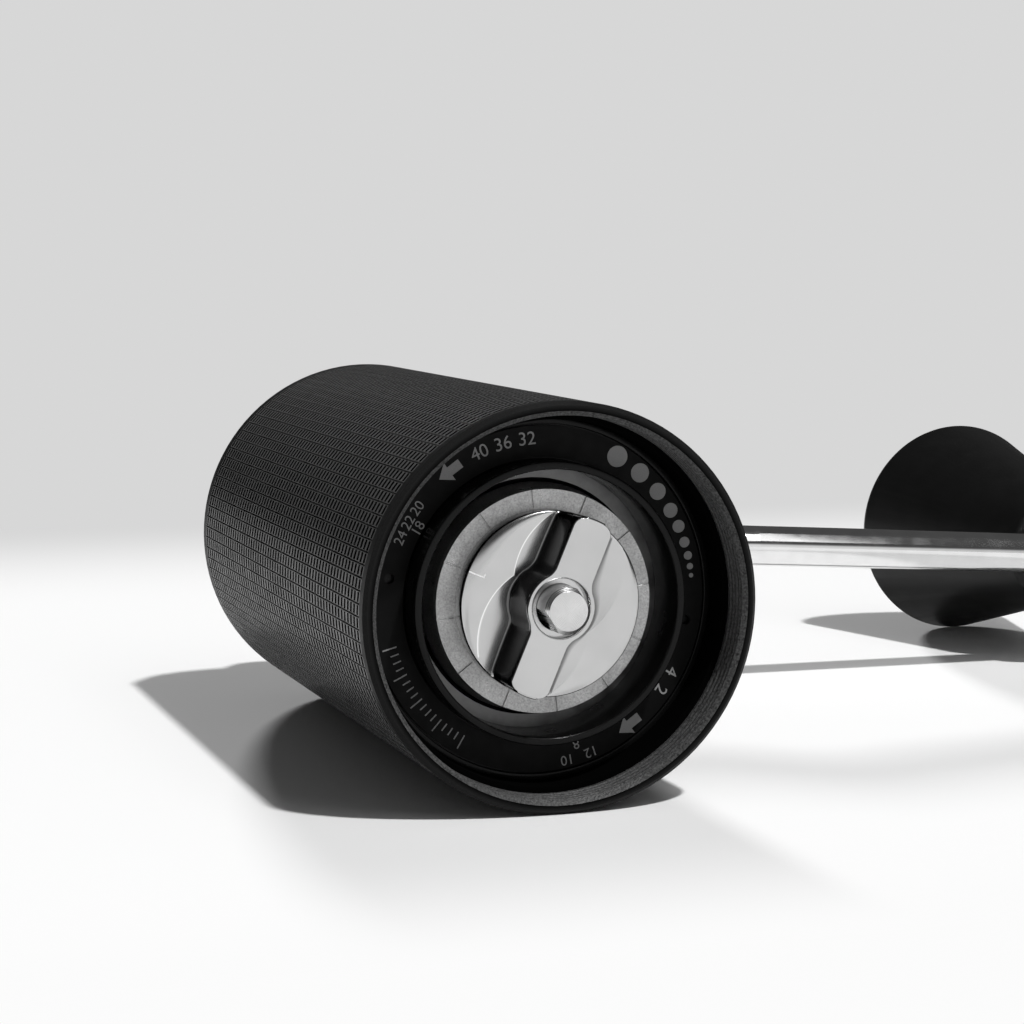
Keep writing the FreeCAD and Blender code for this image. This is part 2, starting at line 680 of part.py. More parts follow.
def lid_cap():
    """Round lid: a crowned plate, a plug in the body's mouth and a boss for the crank's bush."""
    boss_r = bush_r + LID_BOSS_WALL
    under_y = lid_y + LID_PLATE
    rim_y = lid_y + LID_EDGE_H
    seal_y = lid_plug_y + SEAL_UP
    seal_r = lid_plug_r - SEAL_DEPTH
    return turned([(bush_r + PRESS_GAP, bush_y), (boss_r, bush_y), (boss_r, under_y),
                   (lid_plug_r - LID_PLUG_WALL, under_y), (lid_plug_r - LID_PLUG_WALL, lid_plug_y),
                   (lid_plug_r, lid_plug_y), (lid_plug_r, seal_y), (seal_r, seal_y),
                   (seal_r, seal_y + SEAL_H), (lid_plug_r, seal_y + SEAL_H), (lid_plug_r, lid_y),
                   (lid_r, lid_y), (lid_r, rim_y),
                   (lid_r - LID_SHOULDER, rim_y + LID_SHOULDER), (bush_flange_r, lid_top_y),
                   (bush_r + PRESS_GAP, lid_top_y)])


def lid_seal():
    """Soft ring in the plug's groove."""
    start = lid_plug_y + SEAL_UP + PRESS_GAP
    end = lid_plug_y + SEAL_UP + SEAL_H - PRESS_GAP
    return tube(mouth_r - SEAL_GAP, lid_plug_r - SEAL_DEPTH + PRESS_GAP, start, end)


def lid_bush():
    """Flanged bush in the lid, in which the crank's hub turns."""
    bore_r = HUB_JOURNAL_R + RUNNING_GAP
    return turned([(bore_r, bush_y), (bush_r, bush_y), (bush_r, lid_top_y), (bush_flange_r, lid_top_y),
                   (bush_flange_r, lid_top_y + BUSH_FLANGE_T), (bore_r, lid_top_y + BUSH_FLANGE_T)])


def arm_line():
    """Line of the crank arm: over the lid, down in two bends, then straight to the knob."""
    turn = math.radians(ARM_BEND_ANGLE)
    sine, cosine = math.sin(turn), math.cos(turn)
    slope = (ARM_DROP - 2 * ARM_BEND_R * (1 - cosine)) / sine
    first = Vector(ARM_BEND_START, arm_root_y, 0)
    second = first + Vector(ARM_BEND_R * sine, -ARM_BEND_R * (1 - cosine), 0)
    third = second + Vector(slope * cosine, -slope * sine, 0)
    fourth = third + Vector(ARM_BEND_R * sine, -ARM_BEND_R * (1 - cosine), 0)
    reach = ARM_BEND_R * math.tan(turn / 2)
    return Part.Wire([Part.makeLine(Vector(-ARM_TAIL, arm_root_y, 0), first),
                      arc_through(first, first + Vector(reach, 0, 0), second),
                      Part.makeLine(second, third),
                      arc_through(third, fourth - Vector(reach, 0, 0), fourth),
                      Part.makeLine(fourth, Vector(ARM_REACH, arm_y, 0))])


def at_knob(shape):
    """Shape moved from the grinding axis to the knob's axis."""
    shape.translate(Vector(ARM_REACH, 0, 0))
    return shape


def crank_arm():
    """Bent round rod with an eye for the knob's pin."""
    start = Vector(-ARM_TAIL, arm_root_y, 0)
    section = Part.Wire(Part.makeCircle(ARM_R, start, Vector(1, 0, 0)))
    arm = arm_line().makePipeShell([section], True, False)
    eye = at_knob(rod(PIN_STUD_R + EYE_WALL, arm_y - EYE_H / 2, eye_top_y))
    hole = at_knob(rod(PIN_STUD_R + PRESS_GAP, arm_y - EYE_H / 2, eye_top_y))
    return arm.fuse(eye).cut(hole)


def crank_hub():
    """Hub on the spindle's hexagon, with a cross hole for the arm and a set screw over it."""
    groove_r = HUB_JOURNAL_R - HUB_CLIP_BITE
    clip_y = bush_y - SEAT_GAP - HUB_CLIP_T
    blank = turned([(0, hub_y), (HUB_JOURNAL_R, hub_y), (HUB_JOURNAL_R, clip_y), (groove_r, clip_y),
                    (groove_r, clip_y + HUB_CLIP_T), (HUB_JOURNAL_R, clip_y + HUB_CLIP_T),
                    (HUB_JOURNAL_R, hub_head_y), (hub_head_r, hub_head_y),
                    (hub_head_r, hub_top_y - HUB_EDGE), (hub_head_r - HUB_EDGE, hub_top_y), (0, hub_top_y)])
    socket = hex_bar(HEX_ACROSS + 2 * RUNNING_GAP, hub_y, socket_end_y)
    tail = Vector(-ARM_TAIL, arm_root_y, 0)
    cross = Part.makeCylinder(ARM_R + PRESS_GAP, ARM_TAIL + hub_head_r, tail, Vector(1, 0, 0))
    screw = rod(ARM_SCREW_R + PRESS_GAP, arm_root_y, hub_top_y)
    return blank.cut([socket, cross, screw])


def hub_clip():
    """Clip that keeps the lid's bush on the hub."""
    outer = HUB_JOURNAL_R + HUB_CLIP_STEP
    groove_r = HUB_JOURNAL_R - HUB_CLIP_BITE
    clip_y = bush_y - SEAT_GAP - HUB_CLIP_T
    ring = tube(outer, groove_r + PRESS_GAP, clip_y, clip_y + HUB_CLIP_T)
    return ring.cut(block(-groove_r, groove_r, clip_y, clip_y + HUB_CLIP_T, 0, outer))


def hub_cap():
    """Flat cap over the hub's set screw."""
    edge = HUB_CAP_T / 2
    cap_r = hub_head_r - HUB_CAP_INSET
    return turned([(0, hub_top_y), (cap_r, hub_top_y), (cap_r, hub_top_y + HUB_CAP_T - edge),
                   (cap_r - edge, hub_top_y + HUB_CAP_T), (0, hub_top_y + HUB_CAP_T)])


def arm_set_screw():
    """Grub screw that holds the arm in the hub."""
    screw = rod(ARM_SCREW_R, arm_root_y, hub_top_y - SEAT_GAP)
    start = Vector(-hub_head_r, arm_root_y, 0)
    return screw.cut(Part.makeCylinder(ARM_R + PRESS_GAP, 2 * hub_head_r, start, Vector(1, 0, 0)))


def knob_pin():
    """Pin riveted in the arm's eye, with a collar under the knob and a head above it."""
    eye_y = arm_y - EYE_H / 2
    head_end = pin_head_y + PIN_HEAD_T
    rivet_y = eye_y - PIN_RIVET_T
    rivet_r = PIN_STUD_R + PIN_RIVET_STEP
    collar_out = KNOB_PIN_R + PIN_COLLAR_STEP
    collar_end = eye_top_y + PIN_COLLAR_T
    stud = [(0, rivet_y), (rivet_r, rivet_y), (rivet_r, eye_y), (PIN_STUD_R, eye_y), (PIN_STUD_R, eye_top_y)]
    collar = [(collar_out, eye_top_y), (collar_out, collar_end), (KNOB_PIN_R, collar_end)]
    head = [(KNOB_PIN_R, pin_head_y), (pin_head_r, pin_head_y), (pin_head_r, head_end), (0, head_end)]
    return at_knob(turned(stud + collar + head))


def knob_body():
    """Conical knob, widest near its top, with a rounded shoulder and a shallow crown."""
    bore_r = knob_bush_r + PRESS_GAP
    lean = math.atan2(KNOB_R - KNOB_BASE_R, KNOB_FLANK)
    axial = KNOB_SHOULDER - KNOB_CROWN
    swing = math.radians(45) - lean / 2
    bulge_r = knob_top_r + KNOB_ROUND * math.cos(swing)
    bulge = Vector(bulge_r, knob_widest_y + axial * math.sin(swing), 0)
    foot = [Vector(bore_r, well_y, 0), Vector(bore_r, knob_y, 0),
            Vector(KNOB_BASE_R - KNOB_BASE_EDGE, knob_y, 0),
            Vector(KNOB_BASE_R, knob_y + KNOB_BASE_EDGE, 0), Vector(KNOB_R, knob_widest_y, 0)]
    top = [Vector(knob_top_r, knob_top_y - KNOB_CROWN, 0), Vector(knob_well_r + PRESS_GAP, knob_top_y, 0),
           Vector(knob_well_r + PRESS_GAP, well_y, 0), Vector(bore_r, well_y, 0)]
    edges = [Part.makeLine(a, b) for a, b in zip(foot, foot[1:])]
    edges.append(Part.Arc(foot[-1], bulge, top[0]).toShape())
    edges += [Part.makeLine(a, b) for a, b in zip(top, top[1:])]
    return at_knob(Part.Face(Part.Wire(edges)).revolve(CENTRE, AXIS, 360))


def knob_bush(start):
    """Plain bush between the knob and its pin."""
    return at_knob(tube(knob_bush_r, KNOB_PIN_R + RUNNING_GAP, start, start + KNOB_BUSH_L))


def knob_cap():
    """Disc that closes the top of the knob."""
    return at_knob(rod(knob_well_r, knob_top_y - KNOB_CAP_T, knob_top_y))


FIXED = {
    "body_tube": body_tube(),
    "burr_carrier": burr_carrier(),
    "scale_ring": scale_ring(),
    "outer_burr": outer_burr(),
    "burr_set_screws": burr_set_screws(),
    "lower_bridge": bridge(carrier_top_y, lower_bearing_y, LOWER_LIP_T),
    "upper_bridge": upper_bridge(),
    "snap_ring": snap_ring(),
    "lower_outer_race": outer_race(lower_bearing_y),
    "lower_inner_race": inner_race(lower_bearing_y),
    "lower_balls": bearing_balls(lower_bearing_y),
    "upper_outer_race": outer_race(upper_bearing_y),
    "upper_inner_race": inner_race(upper_bearing_y),
    "upper_balls": bearing_balls(upper_bearing_y),
    "drive_shaft": drive_shaft(),
    "shaft_clip": shaft_clip(),
    "spring_washer": spring_washer(),
    "burr_spring": burr_spring(),
    "inner_burr": inner_burr(),
    "adjusting_dial": adjusting_dial(),
    "click_ball": click_ball(),
    "click_spring": click_spring(),
    "lid_cap": lid_cap(),
    "lid_seal": lid_seal(),
    "lid_bush": lid_bush(),
}

CRANKED = {
    "crank_hub": crank_hub(),
    "hub_clip": hub_clip(),
    "hub_cap": hub_cap(),
    "crank_arm": crank_arm(),
    "arm_set_screw": arm_set_screw(),
    "knob_pin": knob_pin(),
    "knob_body": knob_body(),
    "knob_lower_bush": knob_bush(knob_y),
    "knob_upper_bush": knob_bush(well_y - KNOB_BUSH_L),
    "knob_cap": knob_cap(),
}

os.makedirs("parts", exist_ok=True)
for name, solid in FIXED.items():
    solid.exportStep("parts/%s.step" % name)
for name, solid in CRANKED.items():
    spun(solid, crank_angle).exportStep("parts/%s.step" % name)
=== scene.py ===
"""Looks of the hand crank coffee grinder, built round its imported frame."""
from __future__ import annotations

import logging
import math
from dataclasses import dataclass, field
from enum import Enum
from typing import Iterable, Sequence

import bmesh
import bpy
from mathutils import Matrix, Vector

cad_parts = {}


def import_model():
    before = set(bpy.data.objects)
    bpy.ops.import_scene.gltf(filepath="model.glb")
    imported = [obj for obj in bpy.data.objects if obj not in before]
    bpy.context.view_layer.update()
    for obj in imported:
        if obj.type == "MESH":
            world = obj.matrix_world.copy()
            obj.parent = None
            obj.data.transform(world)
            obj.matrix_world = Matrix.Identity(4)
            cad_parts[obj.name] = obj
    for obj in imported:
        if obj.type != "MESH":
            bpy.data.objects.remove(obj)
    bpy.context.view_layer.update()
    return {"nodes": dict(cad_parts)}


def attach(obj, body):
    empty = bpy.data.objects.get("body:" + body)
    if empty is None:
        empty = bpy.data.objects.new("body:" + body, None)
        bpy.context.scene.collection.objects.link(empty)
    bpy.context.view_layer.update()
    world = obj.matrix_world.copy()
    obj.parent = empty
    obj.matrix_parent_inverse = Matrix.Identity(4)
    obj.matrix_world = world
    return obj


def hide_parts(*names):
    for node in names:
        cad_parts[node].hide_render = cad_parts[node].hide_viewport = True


LOG = logging.getLogger("grinder")
MM = 0.001
WELD = 1e-4
FINE_WELD = 1e-5
ON_RING = 1e-3
GRID_HALF = 0.5
# Painted light that meshes carry: full painted shade, none, full painted highlight.
PAINTED_SHADE, UNPAINTED, PAINTED_HIGHLIGHT = 0.0, 0.5, 1.0
CLOUD_GRAINS, CLOUD_DETAIL = 16, 4.0
RING_SCALE, RING_WANDER, RING_DETAIL = 0.31, 1.2, 3.0
MOULDED_DETAIL, GRAIN_DETAIL = 2.0, 5.0
DRAWN_STRETCH = (0.03, 1.0, 1.0)
SHADE_SPAN = (0.3, 0.7)
GLOSS_SPAN = (0.25, 0.75)
LEAST_ROUGH = 0.02
EDGE_SAMPLES = 6
Corner = tuple[float, float, float]
Colour = tuple[float, float, float]
Pair = tuple[float, float]
Mesh = bmesh.types.BMesh
Socket = bpy.types.NodeSocket
Value = float | Sequence[float] | Socket
Inputs = dict[str | int, Value]


def neutral(value: float) -> Colour:
    """Give a grey as a colour.

    Args:
        value: Its brightness.

    Returns:
        Red, green and blue.
    """
    return value, value, value


class Pattern(Enum):
    """How a finish's marks run over the surface."""

    BLASTED = "blasted"
    TURNED = "turned"
    STAINED = "stained"
    GRAINED = "grained"
    DRAWN = "drawn"
    MOULDED = "moulded"


class Turn(Enum):
    """Way round the scale, as the eye sees it from the open end."""

    CLOCKWISE = -1
    COUNTER = 1


@dataclass(frozen=True)
class Wiring:
    """Adds nodes to a tree and joins them."""

    tree: bpy.types.NodeTree

    def add(self, kind: str, inputs: Inputs | None = None, **settings: object) -> bpy.types.Node:
        """Add a node.

        Args:
            kind: The node's kind.
            inputs: For each input its constant, or the socket that feeds it.
            settings: The node's other settings.

        Returns:
            The node.
        """
        made = self.tree.nodes.new("ShaderNode" + kind)
        for name, setting in settings.items():
            setattr(made, name, setting)
        self.feed(made, inputs or {})
        return made

    def feed(self, node: bpy.types.Node, inputs: Inputs) -> None:
        """Set a node's inputs.

        Args:
            node: The node.
            inputs: For each input its constant, or the socket that feeds it.
        """
        for name, value in inputs.items():
            if isinstance(value, Socket):
                self.tree.links.new(value, node.inputs[name])
            else:
                node.inputs[name].default_value = value

    def math(self, operation: str, *values: Value, clamp: bool = False) -> Socket:
        """Work out a value.

        Args:
            operation: What is done.
            values: What it is done with.
            clamp: Whether the result stays between 0 and 1.

        Returns:
            Socket with the result.
        """
        made = self.add("Math", dict(enumerate(values)), operation=operation, use_clamp=clamp)
        return made.outputs["Value"]

    def span(self, value: Socket, ends: Pair, to: tuple[Value, Value] = (0.0, 1.0),
             smooth: bool = False) -> Socket:
        """Lay one span of values on another.

        Args:
            value: Socket with the value.
            ends: Ends of its span.
            to: Ends of the span that it is laid on.
            smooth: Whether it eases in and out.

        Returns:
            Socket with the result.
        """
        inputs = {"Value": value, "From Min": ends[0], "From Max": ends[1],
                  "To Min": to[0], "To Max": to[1]}
        easing = "SMOOTHSTEP" if smooth else "LINEAR"
        return self.add("MapRange", inputs, interpolation_type=easing).outputs["Result"]

    def ramp(self, share: Socket, low: Colour, high: Colour, ends: Pair = (0.0, 1.0)) -> Socket:
        """Go from one colour to another.

        Args:
            share: Socket with the share.
            low: Colour at the lower end.
            high: Colour at the upper end.
            ends: The ends.

        Returns:
            Socket with the colour.
        """
        made = self.add("ValToRGB", {"Fac": share})
        for element, end, colour in zip(made.color_ramp.elements, ends, (low, high)):
            element.position = end
            element.color = (*colour, 1)
        return made.outputs["Color"]


@dataclass(frozen=True)
class Finish:
    """One surface finish and the material that shows it.

    Sizes are in millimetres. A finish with tones paints the light that the mesh carries: from its deep grey
    of painted shade where the mesh's value is 0, through its colour at 0.5 to its bright grey of painted
    highlight at 1. Its reflections go from none at 0 to twice its specular at 1.
    """

    name: str
    colour: Colour
    metallic: float
    roughness: float
    pattern: Pattern
    grain: float = 0.2
    relief: float = 0.01
    spread: float = 0.08
    tint: float = 0.1
    edge: float = 0.0
    specular: float = 0.5
    # Greys of the painted shade and of the painted highlight.
    tones: Pair | None = None

    def material(self) -> bpy.types.Material:
        """Build the finish once and hand out the same material afterwards.

        Returns:
            The material, with its nodes.
        """
        found = bpy.data.materials.get("finish_" + self.name)
        if found:
            return found
        made = bpy.data.materials.new("finish_" + self.name)
        made.use_nodes = True
        wiring = Wiring(made.node_tree)
        fine, broad = self._fields(wiring)
        gloss = self.specular
        # Painted shade also takes away the reflections, and painted highlight doubles them.
        if self.tones:
            gloss = wiring.math("MULTIPLY_ADD", self._painted_light(wiring), 2 * self.specular, 0.0, clamp=True)
        wiring.feed(made.node_tree.nodes["Principled BSDF"], {
            "Metallic": self.metallic, "Specular IOR Level": gloss,
            "Base Color": self._shade(wiring, fine, broad), "Roughness": self._rough(wiring, fine, broad),
            "Normal": self._relief(wiring, fine)})
        return made

    @staticmethod
    def _painted_light(wiring: Wiring) -> Socket:
        """Read the painted light that the mesh carries: below 0.5 painted shade, above it painted
        highlight.
        """
        return wiring.add("Attribute", attribute_name="painted_light").outputs["Fac"]

    def _fields(self, wiring: Wiring) -> tuple[Socket, Socket]:
        """Lay the fine marks and the broad clouding of the surface.

        Args:
            wiring: The material's nodes.

        Returns:
            Sockets with the fine and the broad value, each about 0 to 1.
        """
        place = wiring.add("TexCoord").outputs["Object"]
        broad = wiring.add("TexNoise", {"Vector": place, "Scale": 1 / (self.grain * CLOUD_GRAINS * MM),
                                        "Detail": CLOUD_DETAIL}).outputs["Fac"]
        if self.pattern is Pattern.TURNED:
            rings = {"Vector": place, "Scale": RING_SCALE / (self.grain * MM), "Distortion": RING_WANDER,
                     "Detail": RING_DETAIL}
            fine = wiring.add("TexWave", rings, wave_type="RINGS", rings_direction="Y")
            return fine.outputs["Fac"], broad
        detail = MOULDED_DETAIL if self.pattern is Pattern.MOULDED else GRAIN_DETAIL
        if self.pattern is Pattern.DRAWN:
            place = wiring.add("Mapping", {"Vector": place, "Scale": DRAWN_STRETCH}).outputs["Vector"]
        fine = wiring.add("TexNoise", {"Vector": place, "Scale": 1 / (self.grain * MM), "Detail": detail})
        return fine.outputs["Fac"], broad

    def _shade(self, wiring: Wiring, fine: Socket, broad: Socket) -> Socket:
        """Cloud the colour a little, and paint shade and highlight into it where the mesh carries them.

        Args:
            wiring: The material's nodes.
            fine: Fine marks.
            broad: Broad clouding.

        Returns:
            Socket with the colour.
        """
        source = fine if self.pattern in (Pattern.BLASTED, Pattern.GRAINED) else broad
        dark = tuple(c * (1 - self.tint) for c in self.colour)
        light = tuple(min(1.0, c * (1 + self.tint)) for c in self.colour)
        colour = wiring.ramp(source, dark, light, SHADE_SPAN)
        if self.tones is None:
            return colour
        # Painted shade darkens the colour towards the deep grey, painted highlight lifts it towards the
        # bright grey.
        deep, bright = ((*neutral(grey), 1) for grey in self.tones)
        painted_light = self._painted_light(wiring)
        lower = wiring.math("MULTIPLY_ADD", painted_light, 2.0, 0.0, clamp=True)
        upper = wiring.math("MULTIPLY_ADD", painted_light, 2.0, -1.0, clamp=True)
        sunk = wiring.add("Mix", {"Factor": lower, "A": deep, "B": colour}, data_type="RGBA")
        dull = sunk.outputs["Result"]
        worn = wiring.add("Mix", {"Factor": upper, "A": dull, "B": bright}, data_type="RGBA")
        return worn.outputs["Result"]

    def _rough(self, wiring: Wiring, fine: Socket, broad: Socket) -> Socket:
        """Let the gloss vary over the surface.

        Args:
            wiring: The material's nodes.
            fine: Fine marks.
            broad: Broad clouding.

        Returns:
            Socket with the roughness.
        """
        low, high = max(LEAST_ROUGH, self.roughness - self.spread), min(1.0, self.roughness + self.spread)
        return wiring.span(fine if self.pattern is Pattern.TURNED else broad, GLOSS_SPAN, (low, high))

    def _relief(self, wiring: Wiring, fine: Socket) -> Socket:
        """Raise the fine marks and soften the edges.

        Args:
            wiring: The material's nodes.
            fine: Fine marks.

        Returns:
            Socket with the normal.
        """
        inputs = {"Distance": self.relief * MM, "Strength": 1.0, "Height": fine}
        if self.edge:
            soft = wiring.add("Bevel", {"Radius": self.edge * MM}, samples=EDGE_SAMPLES)
            inputs["Normal"] = soft.outputs["Normal"]
        return wiring.add("Bump", inputs).outputs["Normal"]


# Its tones are the greys of the painted shade on the grip, and of a painted highlight that the grip doesn't
# use.
BODY_BLACK = Finish("body_black", neutral(0.085), 0.0, 0.36, Pattern.BLASTED, grain=0.12, tint=0.35,
                    specular=0.24, tones=(0.0015, 0.12))
# Near-black finish of the pits' floors and walls: painted shade in the pits.
PAINTED_PIT_SHADE = Finish("painted_pit_shade", neutral(0.0012), 0.0, 0.7, Pattern.BLASTED, grain=0.12, specular=0.03)
SKIRT_BLACK = Finish("skirt_black", neutral(0.055), 0.0, 0.4, Pattern.BLASTED, grain=0.26, relief=0.07,
                     spread=0.12, tint=0.8, specular=0.15)
CARRIER_BLACK = Finish("carrier_black", neutral(0.004), 0.0, 0.22, Pattern.MOULDED, grain=0.3,
                       relief=0.0005, tint=0.2, edge=0.12, specular=0.14)
SCALE_BLACK = Finish("scale_black", neutral(0.004), 0.0, 0.5, Pattern.BLASTED, grain=0.08, relief=0.003,
                     specular=0.1)
PRINT_PALE = Finish("print_pale", neutral(0.27), 0.0, 0.6, Pattern.BLASTED, grain=0.1, relief=0.003,
                    tint=0.12)
INDEX_PALE = Finish("index_pale", neutral(0.85), 0.0, 0.5, Pattern.BLASTED, grain=0.1, relief=0.002,
                    tint=0.06)
BURR_STEEL = Finish("burr_steel", neutral(0.37), 1.0, 0.38, Pattern.GRAINED, relief=0.012, spread=0.14,
                    tint=0.26, edge=0.08)
RING_STEEL = Finish("ring_steel", neutral(0.17), 1.0, 0.4, Pattern.STAINED, spread=0.12, tint=0.3,
                    edge=0.08)
# Its tones are the greys of the painted shade by the bar's walls and of the painted highlights.
DIAL_POLISHED = Finish("dial_polished", neutral(0.55), 1.0, 0.16, Pattern.STAINED, grain=0.3,
                       relief=0.0008, spread=0.05, tint=0.06, tones=(0.04, 0.98))
SHAFT_STEEL = Finish("shaft_steel", neutral(0.66), 1.0, 0.24, Pattern.TURNED, grain=0.16, relief=0.0015,
                     tint=0.08, edge=0.1)
PIN_STEEL = Finish("pin_steel", neutral(0.58), 1.0, 0.28, Pattern.BLASTED, relief=0.002, edge=0.1)
ARM_POLISHED = Finish("arm_polished", neutral(0.8), 1.0, 0.1, Pattern.DRAWN, relief=0.0006, spread=0.04,
                      tint=0.04)
KNOB_BLACK = Finish("knob_black", neutral(0.005), 0.0, 0.42, Pattern.MOULDED, grain=0.25, relief=0.002,
                    spread=0.05, tint=0.15, specular=0.25)
LID_BLACK = Finish("lid_black", neutral(0.014), 0.0, 0.5, Pattern.MOULDED, grain=0.22, relief=0.012,
                   tint=0.2)
HUB_BLACK = Finish("hub_black", neutral(0.02), 0.35, 0.4, Pattern.TURNED, grain=0.25, relief=0.003,
                   tint=0.2)
SEAL_RUBBER = Finish("seal_rubber", neutral(0.015), 0.0, 0.75, Pattern.MOULDED, grain=0.3)
BUSH_BRONZE = Finish("bush_bronze", (0.5, 0.33, 0.16), 1.0, 0.36, Pattern.BLASTED, grain=0.12,
                     relief=0.006, tint=0.2)
DARK_STEEL = Finish("dark_steel", neutral(0.13), 1.0, 0.4, Pattern.BLASTED, grain=0.15, relief=0.005)
SPRING_STEEL = Finish("spring_steel", neutral(0.34), 1.0, 0.3, Pattern.DRAWN, grain=0.15, relief=0.003)
BEARING_STEEL = Finish("bearing_steel", neutral(0.62), 1.0, 0.14, Pattern.TURNED, grain=0.15,
                       relief=0.0008, edge=0.1)
BRIDGE_ALLOY = Finish("bridge_alloy", neutral(0.55), 1.0, 0.38, Pattern.BLASTED, relief=0.006, edge=0.2)


class Workshop:
    """Bench tools that turn outlines and bmeshes into finished pieces."""

    @staticmethod
    def piece(mesh: Mesh, name: str, finish: Finish, body: str, slot: str, nodes: Sequence[str] = (),
              sharp: float = 28.0, sunk: Finish | None = None, place: Matrix | None = None) -> None:
        """Make a shape a piece of the grinder.

        Args:
            mesh: Finished shape in millimetres. It is freed.
            name: The piece's name.
            finish: Surface finish.
            body: Body that it moves with.
            slot: Name of a material slot; not used.
            nodes: Nodes that it stands for.
            sharp: Angle in degrees from which an edge shows as sharp.
            sunk: Finish of its sunk faces.
            place: Where it goes, in metres.
        """
        scaled = (place or Matrix.Identity(4)) @ Matrix.Scale(MM, 4)
        bmesh.ops.transform(mesh, matrix=scaled, verts=mesh.verts[:])
        data = bpy.data.meshes.new(name)
        mesh.to_mesh(data)
        mesh.free()
        data.shade_smooth()
        data.set_sharp_from_angle(angle=math.radians(sharp))
        data.materials.append(finish.material())
        if sunk:
            data.materials.append(sunk.material())
        made = bpy.data.objects.new(name, data)
        bpy.context.scene.collection.objects.link(made)
        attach(made, body)
        if nodes:
            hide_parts(*nodes)
        LOG.info("%s: %d faces on %s", name, len(data.polygons), body)

    @staticmethod
    def lathe(outline: Sequence[Corner], steps: int = 160, closed: bool = True, segments: int = 4) -> Mesh:
        """Turn an outline about the grinding axis and round its corners.

        Args:
            outline: Corners as radius, Y and rounding, in millimetres.
            steps: Steps of the full turn.
            closed: Whether the last corner joins the first.
            segments: Segments of a rounded corner.

        Returns:
            The turned shape, in millimetres.
        """
        mesh = bmesh.new()
        corners = [mesh.verts.new((radius, y, 0.0)) for radius, y, _ in outline]
        pairs = list(zip(corners, corners[1:]))
        if closed:
            pairs.append((corners[-1], corners[0]))
        edges = [mesh.edges.new(pair) for pair in pairs]
        bmesh.ops.spin(mesh, geom=corners + edges, cent=(0, 0, 0), axis=(0, 1, 0), dvec=(0, 0, 0),
                       angle=math.tau, steps=steps, use_merge=True, use_duplicate=False)
        bmesh.ops.remove_doubles(mesh, verts=mesh.verts[:], dist=FINE_WELD)
        bmesh.ops.recalc_face_normals(mesh, faces=mesh.faces[:])
        for rounding in sorted({corner[2] for corner in outline if corner[2] > 0}, reverse=True):
            rings = [(radius, y) for radius, y, size in outline if size == rounding]
            chosen = [edge for edge in mesh.edges if Workshop._on_ring(edge, rings)]
            bmesh.ops.bevel(mesh, geom=chosen, offset=rounding, offset_type="OFFSET", segments=segments,
                            profile=0.5, affect="EDGES", clamp_overlap=True, material=-1)
        return mesh

    @staticmethod
    def _on_ring(edge: bmesh.types.BMEdge, rings: Iterable[Pair]) -> bool:
        """Tell whether an edge runs along one of the given rings."""
        ends = [(math.hypot(v.co.x, v.co.z), v.co.y) for v in edge.verts]
        return any(all(abs(r - radius) < ON_RING and abs(h - y) < ON_RING for r, h in ends)
                   for radius, y in rings)

    @staticmethod
    def lay(mesh: Mesh, angle: float, radius: float, depth: float) -> None:
        """Lay a flat mark across the axis, its top outwards.

        Args:
            mesh: The mark in its own plane.
            angle: Degrees from +X towards +Z.
            radius: Distance from the axis.
            depth: Depth below the rim.
        """
        turn = math.radians(angle)
        cosine, sine = math.cos(turn), math.sin(turn)
        place = Matrix(((sine, cosine, 0, radius * cosine), (0, 0, -1, depth),
                        (-cosine, sine, 0, radius * sine), (0, 0, 0, 1)))
        bmesh.ops.transform(mesh, matrix=place, verts=mesh.verts[:])

    @staticmethod
    def plate(outline: Sequence[Pair], thickness: float) -> Mesh:
        """Cut a thin flat plate.

        Args:
            outline: Corners in the plate's plane.
            thickness: Thickness, half to each side.

        Returns:
            The plate, closed.
        """
        mesh = bmesh.new()
        mesh.faces.new([mesh.verts.new((x, y, -thickness / 2)) for x, y in outline])
        return Workshop.thicken(mesh, thickness)

    @staticmethod
    def thicken(mesh: Mesh, thickness: float) -> Mesh:
        """Give a flat shape its thickness, upwards.

        Args:
            mesh: The flat shape.
            thickness: Its thickness.

        Returns:
            The same shape, closed.
        """
        grown = bmesh.ops.extrude_face_region(mesh, geom=mesh.faces[:], use_keep_orig=True)["geom"]
        risen = [part for part in grown if isinstance(part, bmesh.types.BMVert)]
        bmesh.ops.translate(mesh, vec=(0, 0, thickness), verts=risen)
        bmesh.ops.recalc_face_normals(mesh, faces=mesh.faces[:])
        return mesh


